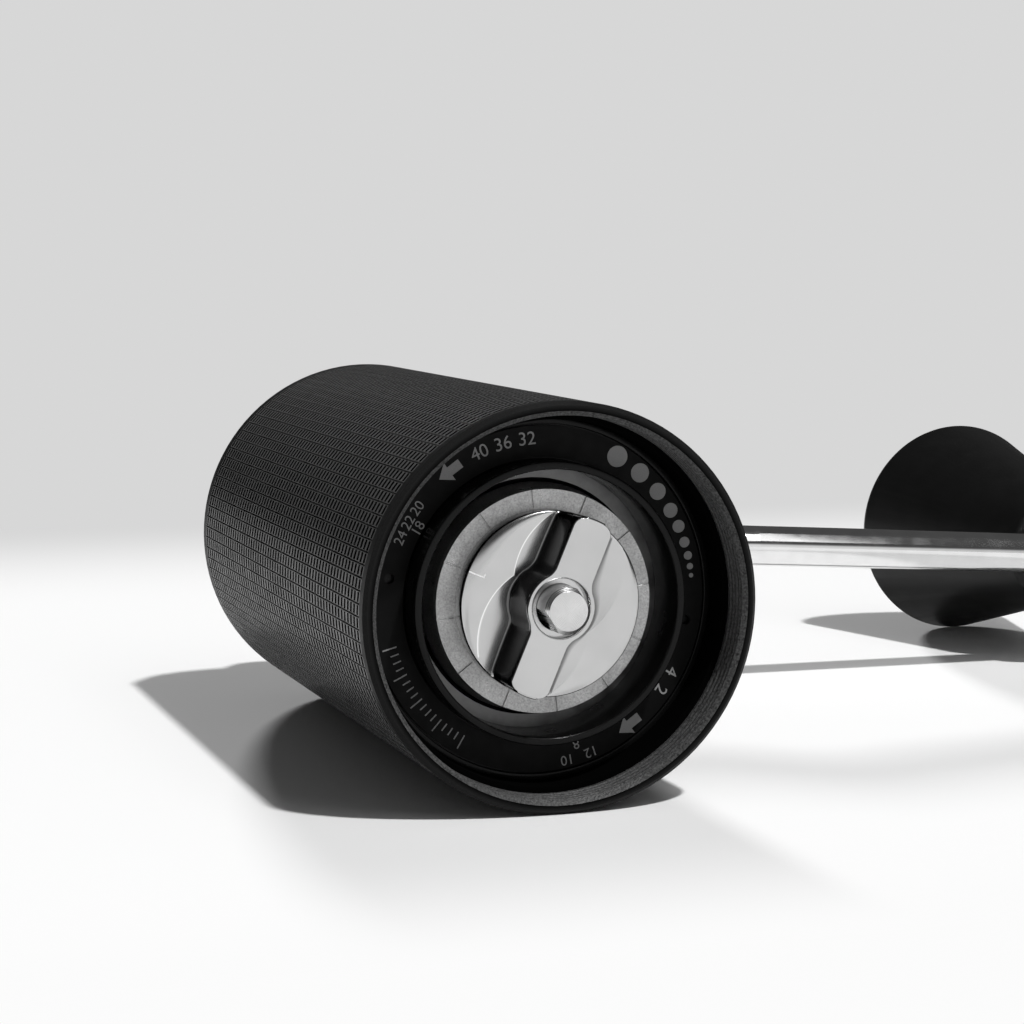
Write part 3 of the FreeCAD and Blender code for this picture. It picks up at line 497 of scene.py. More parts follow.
@dataclass
class GripBody:
    """Body tube: grip of grooved and pitted strips, rim, threaded skirt and inner wall."""

    radius: float = 26.0
    length: float = 94.0
    edge: float = 0.5
    wall_r: float = 24.8
    strips: int = 102
    columns: int = 60
    pitch: float = 1.49
    pit_along: float = 0.75
    pit_round: float = 1.22
    pit_depth: float = 0.4
    groove: float = 0.25
    groove_depth: float = 0.3
    pit_floor: float = 0.82
    slope: float = 0.04
    # Painted shade at the groove bottoms; the plain end bands and the rim are painted just as dark.
    rim_tone: float = 0.07
    lower_band: float = 2.0
    upper_band: float = 2.5
    skirt_r: float = 24.2
    skirt_depth: float = 5.0
    thread_pitch: float = 1.0
    thread_depth: float = 0.35
    thread_half: float = 0.35
    seat_round: float = 0.12
    turn_steps: int = 204
    bore_r: float = 23.4
    hopper_r: float = 22.6
    hopper_y: float = 31.0
    mouth_y: float = 84.0

    def build(self) -> None:
        """Build the grip, the skirt and the inner wall."""
        Workshop.piece(self._sleeve(), "grip_sleeve", BODY_BLACK, "housing", "body_black", ["body_tube"],
                       sunk=PAINTED_PIT_SHADE)
        Workshop.piece(self._skirt(), "threaded_skirt", SKIRT_BLACK, "housing", "body_black", ["body_tube"])
        # The inner wall's mesh carries no painted light, so its finish shows the painted-shade grey all
        # over, with no reflections.
        Workshop.piece(self._wall(), "inner_wall", BODY_BLACK, "housing", "body_black", ["body_tube"])

    def _rows(self) -> list[tuple[float, float, float, bool]]:
        """Give the lines across a strip.

        Returns:
            For each line its Y, the land's radius, the groove's, and whether a pit starts there.
        """
        land, wall = self.radius, self.wall_r
        low = land - self.groove_depth
        rim = land - self.edge
        top = self.length - self.upper_band
        rows = [(self.length, wall, wall, False), (0.0, wall, wall, False), (0.0, rim, rim, False),
                (self.edge, land, land, False), (self.lower_band, land, land, False),
                (self.lower_band + self.slope, land, low, False)]
        start = self.lower_band + (self.pitch - self.pit_along) / 2 + self.slope
        for column in range(self.columns):
            y = start + column * self.pitch
            rows += [(y, land, low, True), (y + self.pit_along, land, low, False)]
        rows += [(top - self.slope, land, low, False), (top, land, land, False),
                 (self.length - self.edge, land, land, False), (self.length, rim, rim, False),
                 (self.length, wall, wall, False)]
        return rows

    def _sleeve(self) -> Mesh:
        """Make one strip of the grip and repeat it round the body.

        Returns:
            The closed sleeve.
        """
        rows = self._rows()
        step = math.tau / self.strips
        half = self.groove / 2 / self.radius
        pit = self.pit_round / 2 / self.radius
        lines = [0.0, half, step / 2 - pit, step / 2 + pit, step - half, step]
        pit_lines = [2, 3]
        mesh = bmesh.new()
        # Painted light on each corner: painted shade in the grooves, the pits and on the inner edge, none
        # on the grooved lands.
        painted_light = mesh.verts.layers.float.new("painted_light")
        bmesh.ops.create_grid(mesh, x_segments=len(lines) - 1, y_segments=len(rows) - 1, size=GRID_HALF)
        place: dict[bmesh.types.BMVert, tuple[int, int]] = {}
        for vert in mesh.verts:
            across = round((vert.co.x + GRID_HALF) * (len(lines) - 1))
            along = round((vert.co.y + GRID_HALF) * (len(rows) - 1))
            y, land, low, _ = rows[along]
            reach = low if across in (0, len(lines) - 1) else land
            vert.co = (reach * math.cos(lines[across]), y, reach * math.sin(lines[across]))
            # Groove bottoms get painted shade, the plain end bands and the rim just as dark, the inner edge
            # the darkest.
            edge_tone = self.rim_tone if reach > self.wall_r else PAINTED_SHADE
            vert[painted_light] = UNPAINTED if reach > low else edge_tone
            place[vert] = (across, along)
        pits = []
        for face in mesh.faces:
            across = sorted({place[v][0] for v in face.verts})
            along = sorted({place[v][1] for v in face.verts})
            if across == pit_lines and rows[along[0]][3]:
                pits.append(face)
        lands = set(mesh.faces) - set(pits)
        sunk = bmesh.ops.extrude_discrete_faces(mesh, faces=pits)["faces"]
        # Sunk faces take the second finish, the painted shade of the pits.
        for face in mesh.faces:
            face.material_index = 0 if face in lands else 1
        for face in sunk:
            centre = face.calc_center_median()
            inwards = Vector((-centre.x, 0, -centre.z)).normalized() * self.pit_depth
            for vert in face.verts:
                vert.co = centre + (vert.co - centre) * self.pit_floor + inwards
                # Full painted shade on the pit's floor.
                vert[painted_light] = PAINTED_SHADE
        bmesh.ops.spin(mesh, geom=mesh.verts[:] + mesh.edges[:] + mesh.faces[:], cent=(0, 0, 0),
                       axis=(0, 1, 0), dvec=(0, 0, 0), angle=math.tau * (self.strips - 1) / self.strips,
                       steps=self.strips - 1, use_duplicate=True)
        bmesh.ops.remove_doubles(mesh, verts=mesh.verts[:], dist=WELD)
        bmesh.ops.recalc_face_normals(mesh, faces=mesh.faces[:])
        return mesh

    def _skirt(self) -> Mesh:
        """Turn the threaded skirt inside the rim.

        Returns:
            The closed ring.
        """
        lead = self.wall_r - self.skirt_r
        half = self.thread_pitch * self.thread_half
        outline: list[Corner] = [(self.wall_r, self.skirt_depth, 0), (self.wall_r, 0.0, 0),
                                 (self.skirt_r, lead, 0)]
        for ring in range(int((self.skirt_depth - lead) / self.thread_pitch)):
            root = lead + self.thread_pitch * (ring + 0.5)
            outline += [(self.skirt_r, root - half, 0), (self.skirt_r + self.thread_depth, root, 0),
                        (self.skirt_r, root + half, 0)]
        outline += [(self.skirt_r, self.skirt_depth, 0)]
        return Workshop.lathe(outline, steps=self.turn_steps, segments=2)

    def _wall(self) -> Mesh:
        """Turn the inner wall behind the skirt, with its burr seat, hopper and mouth.

        Returns:
            The closed wall.
        """
        return Workshop.lathe(
            [(self.wall_r, self.length, 0), (self.wall_r, self.skirt_depth, 0),
             (self.bore_r, self.skirt_depth, self.seat_round), (self.bore_r, self.hopper_y, 0),
             (self.hopper_r, self.hopper_y, 0), (self.hopper_r, self.mouth_y, 0),
             (self.bore_r, self.mouth_y, 0), (self.bore_r, self.length, 0)],
            steps=self.turn_steps, segments=2)


@dataclass
class BurrSeat:
    """Carrier with its collar, and the marks on the scale ring."""

    depth: float = 9.4
    collar_r: Pair = (17.1, 18.1)
    collar_y: float = 4.8
    step_y: float = 10.2
    ring_r: float = 22.59
    carrier_r: float = 23.37
    carrier_y: float = 27.0
    burr_r: float = 19.01
    burr_y: float = 13.0
    ink: float = 0.03
    numeral: float = 1.75
    small_numeral: float = 1.35
    figure_scale: float = 1.38
    figure_steps: int = 4
    dot_r: float = 20.9
    dot_angles: tuple[float, ...] = (60.0, 49.5, 39.9, 31.4, 24.8, 18.6, 13.6, 9.6, 6.3)
    dot_steps: int = 40
    first_dot: float = 1.38
    dot_step: float = 0.135
    coarser_at: Pair = (125.5, 20.7)
    finer_at: Pair = (306.0, 20.9)
    arrow_tail: float = 1.7
    arrow_half: float = 0.62
    arrow_neck: float = 0.05
    arrow_wide: float = 1.35
    arrow_tip: float = 1.75
    tick_count: int = 17
    ticks_per_tall: int = 4
    tick_start: float = 195.0
    tick_sweep: float = 44.0
    tick_r: float = 19.8
    tick_half: float = 0.09
    tick_tall: float = 1.9
    tick_short: float = 1.1

    def build(self) -> None:
        """Build the carrier and the marks."""
        inner, outer = self.collar_r
        carrier = Workshop.lathe(
            [(inner, self.collar_y, 0.22), (outer, self.collar_y, 0.25), (outer, self.step_y, 0),
             (self.ring_r, self.step_y, 0), (self.ring_r, self.depth, 0.1),
             (self.carrier_r, self.depth, 0.1), (self.carrier_r, self.carrier_y, 0.3),
             (self.burr_r, self.carrier_y, 0), (self.burr_r, self.burr_y, 0), (inner, self.burr_y, 0.2)])
        Workshop.piece(carrier, "carrier_ring", CARRIER_BLACK, "housing", "carrier_black", ["burr_carrier"])
        self._dots()
        self._arrow("coarser_arrow", *self.coarser_at, Turn.COUNTER)
        self._arrow("finer_arrow", *self.finer_at, Turn.CLOCKWISE)
        for words, angle, radius, size in self._numbers():
            self._number(words, angle, radius, size)
        self._ticks()

    def _numbers(self) -> list[tuple[str, float, float, float]]:
        """Give the scale's plain numbers.

        Returns:
            For each number its figures, angle, distance from the axis and height.
        """
        big, small = self.numeral, self.small_numeral
        return [("40", 113.0, 20.7, big), ("36", 104.0, 20.7, big), ("32", 95.0, 20.7, big),
                ("4", 330.5, 20.8, big), ("2", 323.0, 20.8, big), ("24", 155.0, 20.4, small),
                ("22", 149.0, 20.4, small), ("20", 143.0, 20.4, small), ("18", 149.0, 18.9, small),
                ("12", 289.0, 21.3, small), ("10", 280.0, 21.3, small), ("8", 284.5, 19.6, small)]

    def _mark(self, mesh: Mesh, name: str, angle: float, radius: float) -> None:
        """Lay a flat mark on the ring.

        Args:
            mesh: The mark in its own plane, in millimetres.
            name: The mark's name.
            angle: Degrees from +X towards +Z.
            radius: Distance from the axis.
        """
        Workshop.lay(mesh, angle, radius, self.depth)
        Workshop.piece(mesh, name, PRINT_PALE, "housing", "scale_black")

    def _dots(self) -> None:
        """Lay the row of dots that shrink towards the finer end."""
        for number, angle in enumerate(self.dot_angles):
            mesh = bmesh.new()
            disc = bmesh.ops.create_circle(mesh, cap_ends=True, segments=self.dot_steps,
                                           radius=self.first_dot - self.dot_step * number)
            bmesh.ops.translate(mesh, vec=(0, 0, -self.ink / 2), verts=disc["verts"])
            self._mark(Workshop.thicken(mesh, self.ink), f"scale_dot_{number + 1}", angle, self.dot_r)

    def _arrow(self, name: str, angle: float, radius: float, way: Turn) -> None:
        """Lay a broad arrow.

        Args:
            name: The arrow's name.
            angle: Degrees of its middle.
            radius: Distance from the axis.
            way: Way that it points.
        """
        tail, half, neck, wide = self.arrow_tail, self.arrow_half, self.arrow_neck, self.arrow_wide
        outline = [(-tail, -half), (-tail, half), (neck, half), (neck, wide), (self.arrow_tip, 0.0),
                   (neck, -wide), (neck, -half)]
        mesh = Workshop.plate([(-way.value * x, y) for x, y in outline], self.ink)
        self._mark(mesh, name, angle, radius)

    def _number(self, words: str, angle: float, radius: float, size: float) -> None:
        """Lay a number on the ring.

        Args:
            words: The figures.
            angle: Degrees of its middle.
            radius: Distance from the axis of its middle.
            size: Height of a figure.
        """
        text = bpy.data.curves.new("figures", "FONT")
        text.body = words
        text.align_x = "CENTER"
        text.align_y = "CENTER"
        text.size = size * self.figure_scale
        text.extrude = self.ink / 2
        text.resolution_u = self.figure_steps
        holder = bpy.data.objects.new("figures", text)
        bpy.context.scene.collection.objects.link(holder)
        bpy.context.view_layer.update()
        data = bpy.data.meshes.new_from_object(holder.evaluated_get(bpy.context.evaluated_depsgraph_get()))
        bpy.data.objects.remove(holder)
        bpy.data.curves.remove(text)
        mesh = bmesh.new()
        mesh.from_mesh(data)
        bpy.data.meshes.remove(data)
        bmesh.ops.remove_doubles(mesh, verts=mesh.verts[:], dist=WELD)
        self._mark(mesh, "scale_number_" + words, angle, radius)

    def _ticks(self) -> None:
        """Lay a row of fine ticks on the lower left of the ring."""
        mesh = bmesh.new()
        for number in range(self.tick_count):
            tall = self.tick_short if number % self.ticks_per_tall else self.tick_tall
            angle = self.tick_start + number * self.tick_sweep / (self.tick_count - 1)
            half = self.tick_half
            plate = Workshop.plate([(-half, 0), (half, 0), (half, tall), (-half, tall)], self.ink)
            Workshop.lay(plate, angle, self.tick_r, self.depth)
            data = bpy.data.meshes.new("tick")
            plate.to_mesh(data)
            plate.free()
            mesh.from_mesh(data)
            bpy.data.meshes.remove(data)
        Workshop.piece(mesh, "scale_ticks", PRINT_PALE, "housing", "scale_black")


@dataclass
class DialFace:
    """Adjusting dial: a flange with shallow finger hollows on both sides of a drafted bar.

    In shape the second half is the first one turned half round; its painted shade and highlight differ.
    """

    radius: float = 11.9
    back_y: float = 7.85
    top_y: float = 1.2
    rise: float = 4.0
    half: float = 2.7
    hub_r: float = 4.5
    blend: float = 2.6
    draft: float = 11.0
    bar_angle: float = 67.0
    bore_r: float = 3.05
    mouth_r: float = 3.77
    mouth_depth: float = 1.0
    tip_round: float = 1.3
    top_soft: float = 1.0
    foot_soft: float = 2.8
    edge: float = 0.12
    hollow_r: float = 66.0
    # Painted light: shade on the bar's walls and feet, easing off past the near or far reach at its fade;
    # on the half whose wall faces the eye lighter shade at the hollow's foot and a highlight on its crease;
    # on the other half a highlight line along the bar's top edge; none near the rim.
    wall_shade: float = 0.06
    near_reach: float = 1.2
    near_fade: float = 0.2
    far_reach: float = 1.5
    far_fade: float = 0.4
    foot_shades: Pair = (0.34, 0.46)
    highlight_line: Pair = (-0.11, 0.01)
    plain_rim: float = 0.3
    long_lobe: Corner = (4.6, -3.3, 9.8)
    wide_lobe: Corner = (-4.3, -2.0, 10.0)
    mouth_points: int = 2
    beside: tuple[float, ...] = (
        -0.5, -0.3, -0.2, -0.15, -0.1, -0.05, 0.0, 0.05, 0.1, 0.15, 0.2, 0.28, 0.36, 0.44, 0.52, 0.6, 0.7,
        0.8, 0.9, 1.0, 1.1, 1.2, 1.35, 1.5, 1.8)
    parts: tuple[float, ...] = (0.25, 0.5, 0.75, 0.92, 1.0)
    flange_parts: tuple[float, ...] = (0.03, 0.3, 0.6)
    halvings: int = 40
    spokes: int = 720
    index_angle: float = 157.0
    index_start: float = 9.6
    index_half: float = 0.09
    index_foot: Pair = (0.45, 0.16)
    index_gap: float = 0.1
    ink: float = 0.03

    def build(self) -> None:
        """Build the dial and its index line."""
        Workshop.piece(self._face(), "dial_face", DIAL_POLISHED, "dial", "dial_polished",
                       ["adjusting_dial"], sharp=50)
        side, (foot, tall) = self.index_half, self.index_foot
        low, end = self.index_start, self.radius - self.index_gap
        line = Workshop.plate([(-side, low), (foot, low), (foot, low + tall), (side, low + tall),
                               (side, end), (-side, end)], self.ink)
        Workshop.lay(line, self.index_angle, 0.0, self.top_y + self.rise)
        Workshop.piece(line, "dial_index", INDEX_PALE, "dial", "dial_polished")

    def _half_width(self, along: float) -> float:
        """Give half the width of the bar's top.

        Args:
            along: Distance from the axis along the bar.

        Returns:
            Distance of the bar's edge from its middle line.
        """
        along = abs(along)
        reach = math.sqrt((self.hub_r + self.blend) ** 2 - (self.half + self.blend) ** 2)
        on_hub = self.hub_r * reach / (self.hub_r + self.blend)
        if along < on_hub:
            return math.sqrt(self.hub_r ** 2 - along ** 2)
        if along < reach:
            return self.half + self.blend - math.sqrt(self.blend ** 2 - (reach - along) ** 2)
        over = along - (math.sqrt(self.radius ** 2 - self.half ** 2) - self.tip_round)
        if over > 0:
            return self.half - self.tip_round + math.sqrt(max(0.0, self.tip_round ** 2 - over ** 2))
        return self.half

    def _hollow(self, along: float, across: float) -> float:
        """Give the depth of the finger hollows below the flange.

        Args:
            along: Place along the bar.
            across: Place across it, on the first half.

        Returns:
            The depth, 0 on the flat flange.
        """
        deepest = 0.0
        for u, v, crease in (self.long_lobe, self.wide_lobe):
            off = min(crease, math.hypot(along - u, across - v))
            depth = math.sqrt(self.hollow_r ** 2 - off ** 2) - math.sqrt(self.hollow_r ** 2 - crease ** 2)
            deepest = max(deepest, depth)
        return deepest

    @staticmethod
    def _soft_max(one: float, other: float, reach: float) -> float:
        """Give the larger of two heights, rounded where they meet within the reach."""
        near = max(reach - abs(one - other), 0.0) / reach
        return max(one, other) + near * near * reach / 4

    def _depth(self, along: float, across: float) -> float:
        """Give the dial's surface.

        Args:
            along: Place along the bar.
            across: Place across it, on the first half.

        Returns:
            Depth below the bar's top.
        """
        wall = (across - self._half_width(along)) / math.tan(math.radians(self.draft))
        bar = self._soft_max(wall, 0.0, self.top_soft)
        return -self._soft_max(-bar, -self.rise - self._hollow(along, across), self.foot_soft)

    def _reach(self, angle: float, beside: float) -> float:
        """Find where a spoke passes a line beside the bar's edge.

        Args:
            angle: The spoke's angle from the bar, 0 to pi.
            beside: Distance of the line from the edge.

        Returns:
            Distance from the axis, no more than the dial's radius.
        """
        near, far = self.mouth_r + self.edge, self.radius
        for _ in range(self.halvings):
            middle = (near + far) / 2
            over = middle * math.sin(angle) - self._half_width(middle * math.cos(angle))
            near, far = (near, middle) if over > beside else (middle, far)
        return near

    def _crease(self, angle: float) -> float:
        """Find where a spoke leaves the finger hollows.

        Args:
            angle: The spoke's angle from the bar, 0 to pi.

        Returns:
            Distance from the axis, no more than the dial's radius.
        """
        near, far = self.mouth_r, self.radius
        for _ in range(self.halvings):
            middle = (near + far) / 2
            inside = self._hollow(middle * math.cos(angle), middle * math.sin(angle)) > 0
            near, far = (middle, far) if inside else (near, middle)
        return near

    def _spoke(self, angle: float) -> list[Pair]:
        """Run a closed line over the dial's front, rim, back and bore.

        Args:
            angle: The spoke's angle from the bar, 0 to pi.

        Returns:
            Points as distance from the axis and Y.
        """
        rim = self.radius - self.edge
        reaches = [self._reach(angle, gap) for gap in self.beside]
        crease = max(self._crease(angle), reaches[-1])
        reaches += [reaches[-1] + (crease - reaches[-1]) * part for part in self.parts]
        reaches += [crease + (rim - crease) * part for part in self.flange_parts]
        reaches = [min(max(reach, self.mouth_r + 2 * self.edge), rim - self.edge) for reach in reaches]
        points = [(self.mouth_r + self.edge, self.top_y), (self.mouth_r + 2 * self.edge, self.top_y)]
        for reach in reaches + [rim]:
            depth = self._depth(reach * math.cos(angle), reach * math.sin(angle))
            points.append((reach, self.top_y + depth))
        floor = self.top_y + self.mouth_depth
        points += [(self.radius, points[-1][1] + self.edge), (self.radius, self.back_y),
                   (self.bore_r, self.back_y), (self.bore_r, floor), (self.mouth_r, floor),
                   (self.mouth_r, self.top_y + self.edge), points[0]]
        return points

    def _tones(self, seen: bool) -> dict[int, float]:
        """Say where shade and highlight are painted along a spoke.

        Args:
            seen: Whether the spoke is on the half whose wall faces the eye. That half has its painted
                highlight on the hollow's crease, the other half along the bar's top edge.

        Returns:
            Painted light by the point's number, where there is some: below 0.5 painted shade, above it
            painted highlight.
        """
        reach, fade = (self.near_reach, self.near_fade) if seen else (self.far_reach, self.far_fade)
        gaps = list(enumerate(self.beside, self.mouth_points))
        # Painted shade on the wall and its foot, darkest within the reach of the bar's edge.
        tones = {step: min(UNPAINTED, self.wall_shade + max(0.0, gap - reach) * fade)
                 for step, gap in gaps if gap > 0}
        if seen:
            hollow = self.mouth_points + len(self.beside)
            # Lighter painted shade at the hollow's foot, and a painted highlight on its crease.
            tones.update(enumerate(self.foot_shades, hollow))
            tones[hollow + len(self.parts) - 1] = PAINTED_HIGHLIGHT
        else:
            # Painted highlight along the bar's top edge.
            low, high = self.highlight_line
            tones.update({step: PAINTED_HIGHLIGHT for step, gap in gaps if low < gap < high})
        return tones

    def _face(self) -> Mesh:
        """Lay the spokes round the axis as one closed skin.

        Returns:
            The dial, in millimetres.
        """
        lines = [self._spoke(math.pi * number / (self.spokes // 2)) for number in range(self.spokes // 2)]
        near, far = self._tones(True), self._tones(False)
        mesh = bmesh.new()
        painted_light = mesh.verts.layers.float.new("painted_light")
        bmesh.ops.create_grid(mesh, x_segments=len(lines[0]) - 1, y_segments=self.spokes, size=GRID_HALF)
        for vert in mesh.verts:
            step = round((vert.co.x + GRID_HALF) * (len(lines[0]) - 1))
            number = round((vert.co.y + GRID_HALF) * self.spokes)
            reach, y = lines[number % len(lines)][step]
            # Painted shade and highlight differ on the two halves, and none is painted near the rim.
            tones = near if number < len(lines) else far
            inside = reach < self.radius - self.plain_rim
            vert[painted_light] = tones.get(step, UNPAINTED) if inside else UNPAINTED
            turn = math.tau * number / self.spokes + math.radians(self.bar_angle)
            vert.co = (reach * math.cos(turn), y, reach * math.sin(turn))
        bmesh.ops.remove_doubles(mesh, verts=mesh.verts[:], dist=WELD)
        bmesh.ops.dissolve_degenerate(mesh, edges=mesh.edges[:], dist=WELD)
        bmesh.ops.recalc_face_normals(mesh, faces=mesh.faces[:])
        return mesh


@dataclass
class CrankSet:
    """Lid, the hub's cap and the knob, as turned pieces."""

    reach: float = 121.2
    body_r: float = 26.0
    bush_r: float = 7.01
    boss_r: float = 9.0
    boss_y: float = 91.05
    roof_y: float = 94.65
    plug_r: Pair = (20.0, 22.9)
    plug_y: float = 89.85
    seal_r: float = 21.9
    seal_y: Pair = (91.15, 92.95)
    flange_y: float = 94.05
    lid_r: float = 24.6
    lid_y: float = 96.2
    slope_r: Pair = (23.0, 8.7)
    slope_y: Pair = (96.75, 97.35)
    cap_r: float = 7.6
    cap_y: Pair = (108.4, 109.6)
    knob_r: float = 18.6
    knob_low: float = 87.5
    knob_wide: float = 124.5
    knob_top: float = 129.1
    knob_steps: int = 192
    neck_r: float = 9.0
    shoulder_r: float = 18.2
    shoulder_drop: float = 1.9
    pin_r: float = 4.51
    well_r: float = 6.01
    well_rise: float = 36.2

    def knob_place(self) -> Matrix:
        """Give the placing of the knob's axis, in metres."""
        drop = self.body_r - self.knob_r
        across = math.sqrt(self.reach ** 2 - drop ** 2)
        return Matrix.Translation((across * MM, 0, -drop * MM))

    def build(self) -> None:
        """Build the lid, the hub's cap and the knob."""
        self._lid()
        low, high = self.cap_y
        cap = Workshop.lathe([(0, low, 0), (self.cap_r, low, 0), (self.cap_r, high, 0.45), (0, high, 0)],
                             closed=False)
        Workshop.piece(cap, "hub_disc", LID_BLACK, "crank", "hub_cap_black", ["hub_cap"])
        self._knob()

    def _lid(self) -> None:
        """Turn the lid with its boss, its plug and the groove for its seal."""
        inner, plug = self.plug_r
        low, high = self.seal_y
        (wide, narrow), (foot, top) = self.slope_r, self.slope_y
        lid = Workshop.lathe(
            [(self.bush_r, self.boss_y, 0), (self.boss_r, self.boss_y, 0.3), (self.boss_r, self.roof_y, 0),
             (inner, self.roof_y, 0), (inner, self.plug_y, 0.3), (plug, self.plug_y, 0.3), (plug, low, 0),
             (self.seal_r, low, 0), (self.seal_r, high, 0), (plug, high, 0), (plug, self.flange_y, 0),
             (self.lid_r, self.flange_y, 0.25), (self.lid_r, self.lid_y, 0.9), (wide, foot, 0),
             (narrow, top, 0), (self.bush_r, top, 0)])
        Workshop.piece(lid, "lid_shell", LID_BLACK, "lid", "lid_black", ["lid_cap"])

    def _knob(self) -> None:
        """Turn the knob."""
        low, top = self.knob_low, self.knob_top
        well = low + self.well_rise
        knob = Workshop.lathe(
            [(self.pin_r, low, 0.2), (self.neck_r, low, 0.7), (self.knob_r, self.knob_wide, 2.4),
             (self.shoulder_r, top - self.shoulder_drop, 3.2), (self.well_r, top, 0.12),
             (self.well_r, well, 0), (self.pin_r, well, 0)], steps=self.knob_steps, segments=8)
        Workshop.piece(knob, "knob_grip", KNOB_BLACK, "knob", "knob_black", ["knob_body"], sharp=40,
                       place=self.knob_place())


@dataclass
class Dresser:
    """Gives each node that stays its finish."""

    finishes: dict[str, Finish] = field(default_factory=lambda: {
        "scale_ring": SCALE_BLACK, "outer_burr": RING_STEEL, "inner_burr": BURR_STEEL,
        "burr_set_screws": DARK_STEEL, "lower_bridge": BRIDGE_ALLOY, "upper_bridge": BRIDGE_ALLOY,
        "snap_ring": SPRING_STEEL, "lower_outer_race": BEARING_STEEL, "lower_balls": BEARING_STEEL,
        "upper_outer_race": BEARING_STEEL, "upper_balls": BEARING_STEEL, "drive_shaft": SHAFT_STEEL,
        "lower_inner_race": BEARING_STEEL, "upper_inner_race": BEARING_STEEL, "shaft_clip": SPRING_STEEL,
        "spring_washer": DARK_STEEL, "burr_spring": SPRING_STEEL, "click_ball": BEARING_STEEL,
        "click_spring": SPRING_STEEL, "lid_seal": SEAL_RUBBER, "lid_bush": BUSH_BRONZE,
        "crank_hub": HUB_BLACK, "hub_clip": SPRING_STEEL, "crank_arm": ARM_POLISHED,
        "arm_set_screw": DARK_STEEL, "knob_pin": PIN_STEEL, "knob_lower_bush": BUSH_BRONZE,
        "knob_upper_bush": BUSH_BRONZE, "knob_cap": KNOB_BLACK,
    })

    def dress(self, nodes: dict[str, bpy.types.Object]) -> None:
        """Put each finish on its node.

        Args:
            nodes: The frame's nodes by name.
        """
        for name, finish in self.finishes.items():
            data = nodes[name].data
            data.materials.clear()
            data.materials.append(finish.material())
            LOG.info("%s wears %s", name, finish.name)


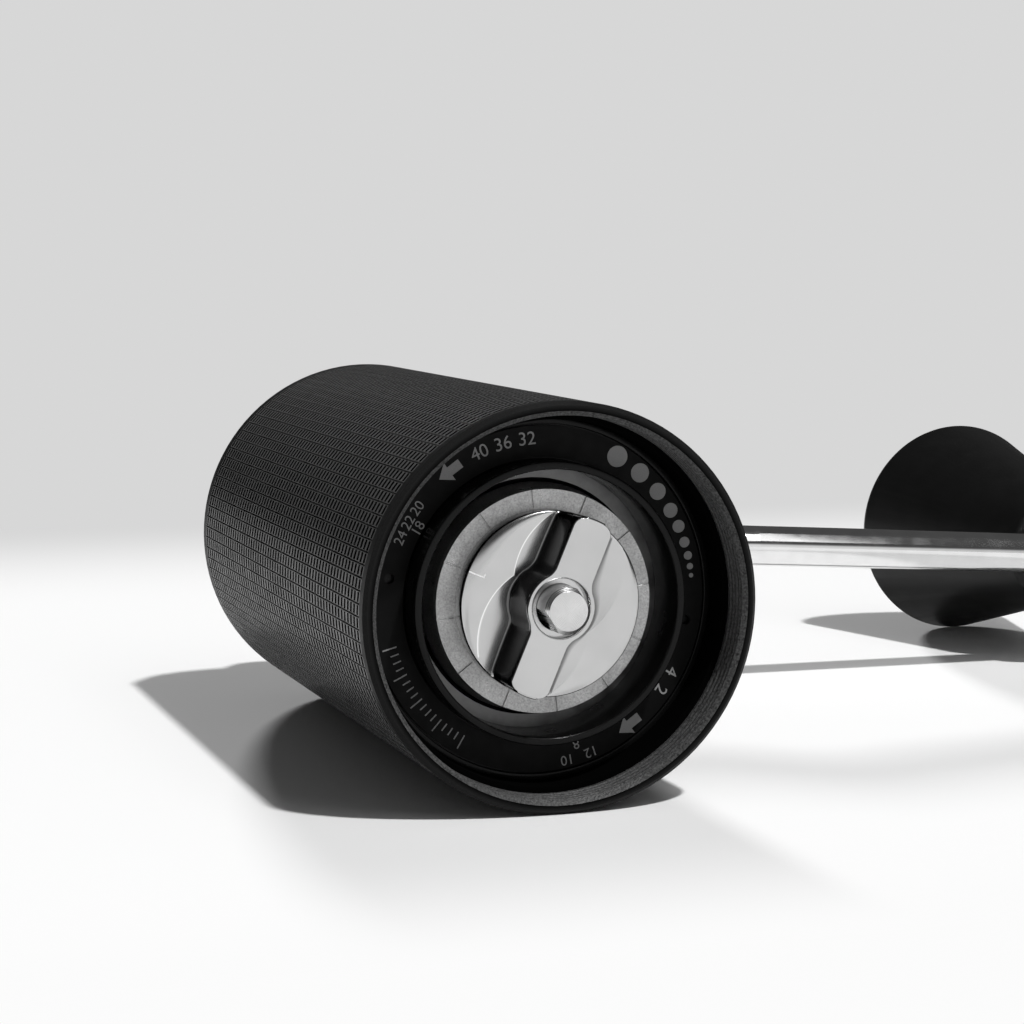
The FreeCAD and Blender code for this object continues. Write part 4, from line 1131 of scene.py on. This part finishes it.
@dataclass
class Studio:
    """Floor, room light, the two suns and the camera."""

    floor: float = -26.0 * MM
    spread: float = 5.0
    grey_span: Pair = (0.2, 0.34)
    white_span: Pair = (-0.012, -0.06)
    white: float = 0.86
    front_white: float = 0.97
    grey: float = 0.68
    eye: Corner = (-108.79 * MM, -303.99 * MM, 47.2 * MM)
    forward: Corner = (0.31579, 0.94270, -0.10765)
    lens: float = 92.1
    sensor: float = 36.0
    clip_start: float = 0.01
    key_from: Corner = (0.277, -0.52, 1.0)
    key_strength: float = 2.7
    key_angle: float = 3.0
    back_from: Corner = (0.4, 3.2, 1.0)
    back_strength: float = 2.9
    back_angle: float = 6.0
    room_back: float = 0.06
    room_front: float = 0.86
    room_top: float = 0.07
    front_span: Pair = (-0.72, -0.92)
    high_span: Pair = (0.14, 0.34)
    paper_rough: float = 0.9
    paper_specular: float = 0.1
    panel: float = 1.3
    panel_x: Pair = (0.3, 0.17)
    panel_z: Pair = (0.69, 0.19)

    def build(self) -> None:
        """Set up the whole studio."""
        self._floor()
        self._world()
        self._sun("key_light", self.key_from, self.key_strength, self.key_angle)
        self._sun("back_light", self.back_from, self.back_strength, self.back_angle).visible_glossy = False
        self._camera()

    def _floor(self) -> None:
        """Lay a wide pale floor that turns grey behind the grinder."""
        mesh = bmesh.new()
        bmesh.ops.create_grid(mesh, x_segments=1, y_segments=1, size=self.spread)
        bmesh.ops.translate(mesh, vec=(0, 0, self.floor), verts=mesh.verts[:])
        data = bpy.data.meshes.new("studio_floor")
        mesh.to_mesh(data)
        mesh.free()
        data.materials.append(self._floor_material())
        floor = bpy.data.objects.new("studio_floor", data)
        bpy.context.scene.collection.objects.link(floor)

    def _floor_material(self) -> bpy.types.Material:
        """Shade the floor: lit paper by the grinder, to the eye an even white in front and grey behind.

        Returns:
            The material.
        """
        made = bpy.data.materials.new("studio_paper")
        made.use_nodes = True
        nodes = made.node_tree.nodes
        paper = nodes["Principled BSDF"]
        wiring = Wiring(made.node_tree)
        place = wiring.add("TexCoord").outputs["Object"]
        depth = wiring.add("SeparateXYZ", {"Vector": place}).outputs["Y"]
        behind = wiring.span(depth, self.grey_span, smooth=True)
        front = wiring.span(depth, self.white_span, smooth=True)
        grey = neutral(self.grey)
        wiring.feed(paper, {"Base Color": wiring.ramp(behind, neutral(self.white), grey),
                            "Roughness": self.paper_rough, "Specular IOR Level": self.paper_specular})
        even = wiring.add("Emission", {"Color": wiring.ramp(behind, neutral(self.front_white), grey)})
        seen = wiring.add("LightPath").outputs["Is Camera Ray"]
        share = wiring.math("MULTIPLY", wiring.math("MAXIMUM", behind, front), seen)
        mix = wiring.add("MixShader", {"Fac": share, 1: paper.outputs["BSDF"],
                                       2: even.outputs["Emission"]})
        wiring.feed(nodes["Material Output"], {"Surface": mix.outputs["Shader"]})
        return made

    def _world(self) -> None:
        """Light the room softly, brightest low in front of the grinder, and show it as an even grey."""
        world = bpy.data.worlds.new("studio_room")
        bpy.context.scene.world = world
        world.use_nodes = True
        nodes = world.node_tree.nodes
        room = nodes["Background"]
        wiring = Wiring(world.node_tree)
        place = wiring.add("TexCoord").outputs["Generated"]
        way = wiring.add("SeparateXYZ", {"Vector": place}).outputs
        front = wiring.span(way["Y"], self.front_span, (self.room_back, self.room_front))
        high = wiring.span(way["Z"], self.high_span, (front, self.room_top), smooth=True)
        panel = wiring.math("LESS_THAN", way["Y"], 0.0)
        for axis, (middle, half) in (("X", self.panel_x), ("Z", self.panel_z)):
            panel = wiring.math("MULTIPLY", panel, wiring.math("COMPARE", way[axis], middle, half))
        wiring.feed(room, {"Color": (*neutral(1.0), 1),
                           "Strength": wiring.math("MULTIPLY_ADD", panel, self.panel, high)})
        back = wiring.add("Background", {"Color": (*neutral(self.grey), 1)})
        seen = wiring.add("LightPath").outputs["Is Camera Ray"]
        mix = wiring.add("MixShader", {"Fac": seen, 1: room.outputs["Background"],
                                       2: back.outputs["Background"]})
        wiring.feed(nodes["World Output"], {"Surface": mix.outputs["Shader"]})

    @staticmethod
    def _sun(name: str, towards: Corner, strength: float, angle: float) -> bpy.types.Object:
        """Hang a far light.

        Args:
            name: The light's name.
            towards: Direction from the grinder to it.
            strength: Its strength.
            angle: Its width in degrees, as the grinder sees it.

        Returns:
            The light.
        """
        data = bpy.data.lights.new(name, "SUN")
        data.energy = strength
        data.angle = math.radians(angle)
        lamp = bpy.data.objects.new(name, data)
        lamp.rotation_euler = (-Vector(towards)).to_track_quat("-Z", "Y").to_euler()
        bpy.context.scene.collection.objects.link(lamp)
        return lamp

    def _camera(self) -> None:
        """Stand the camera where the photograph was taken."""
        data = bpy.data.cameras.new("photo_camera")
        data.lens = self.lens
        data.sensor_width = self.sensor
        data.clip_start = self.clip_start
        camera = bpy.data.objects.new("photo_camera", data)
        ahead = Vector(self.forward).normalized()
        right = ahead.cross(Vector((0, 0, 1))).normalized()
        up = right.cross(ahead)
        turn = Matrix((right, up, -ahead)).transposed().to_4x4()
        camera.matrix_world = Matrix.Translation(self.eye) @ turn
        bpy.context.scene.collection.objects.link(camera)
        bpy.context.scene.camera = camera


def main() -> None:
    """Build every piece in order."""
    logging.basicConfig(level=logging.INFO, format="%(message)s")
    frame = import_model()
    bpy.context.scene.view_settings.view_transform = "Standard"
    GripBody().build()
    BurrSeat().build()
    DialFace().build()
    CrankSet().build()
    Dresser().dress(frame["nodes"])
    Studio().build()


if __name__ == "__main__":
    main()
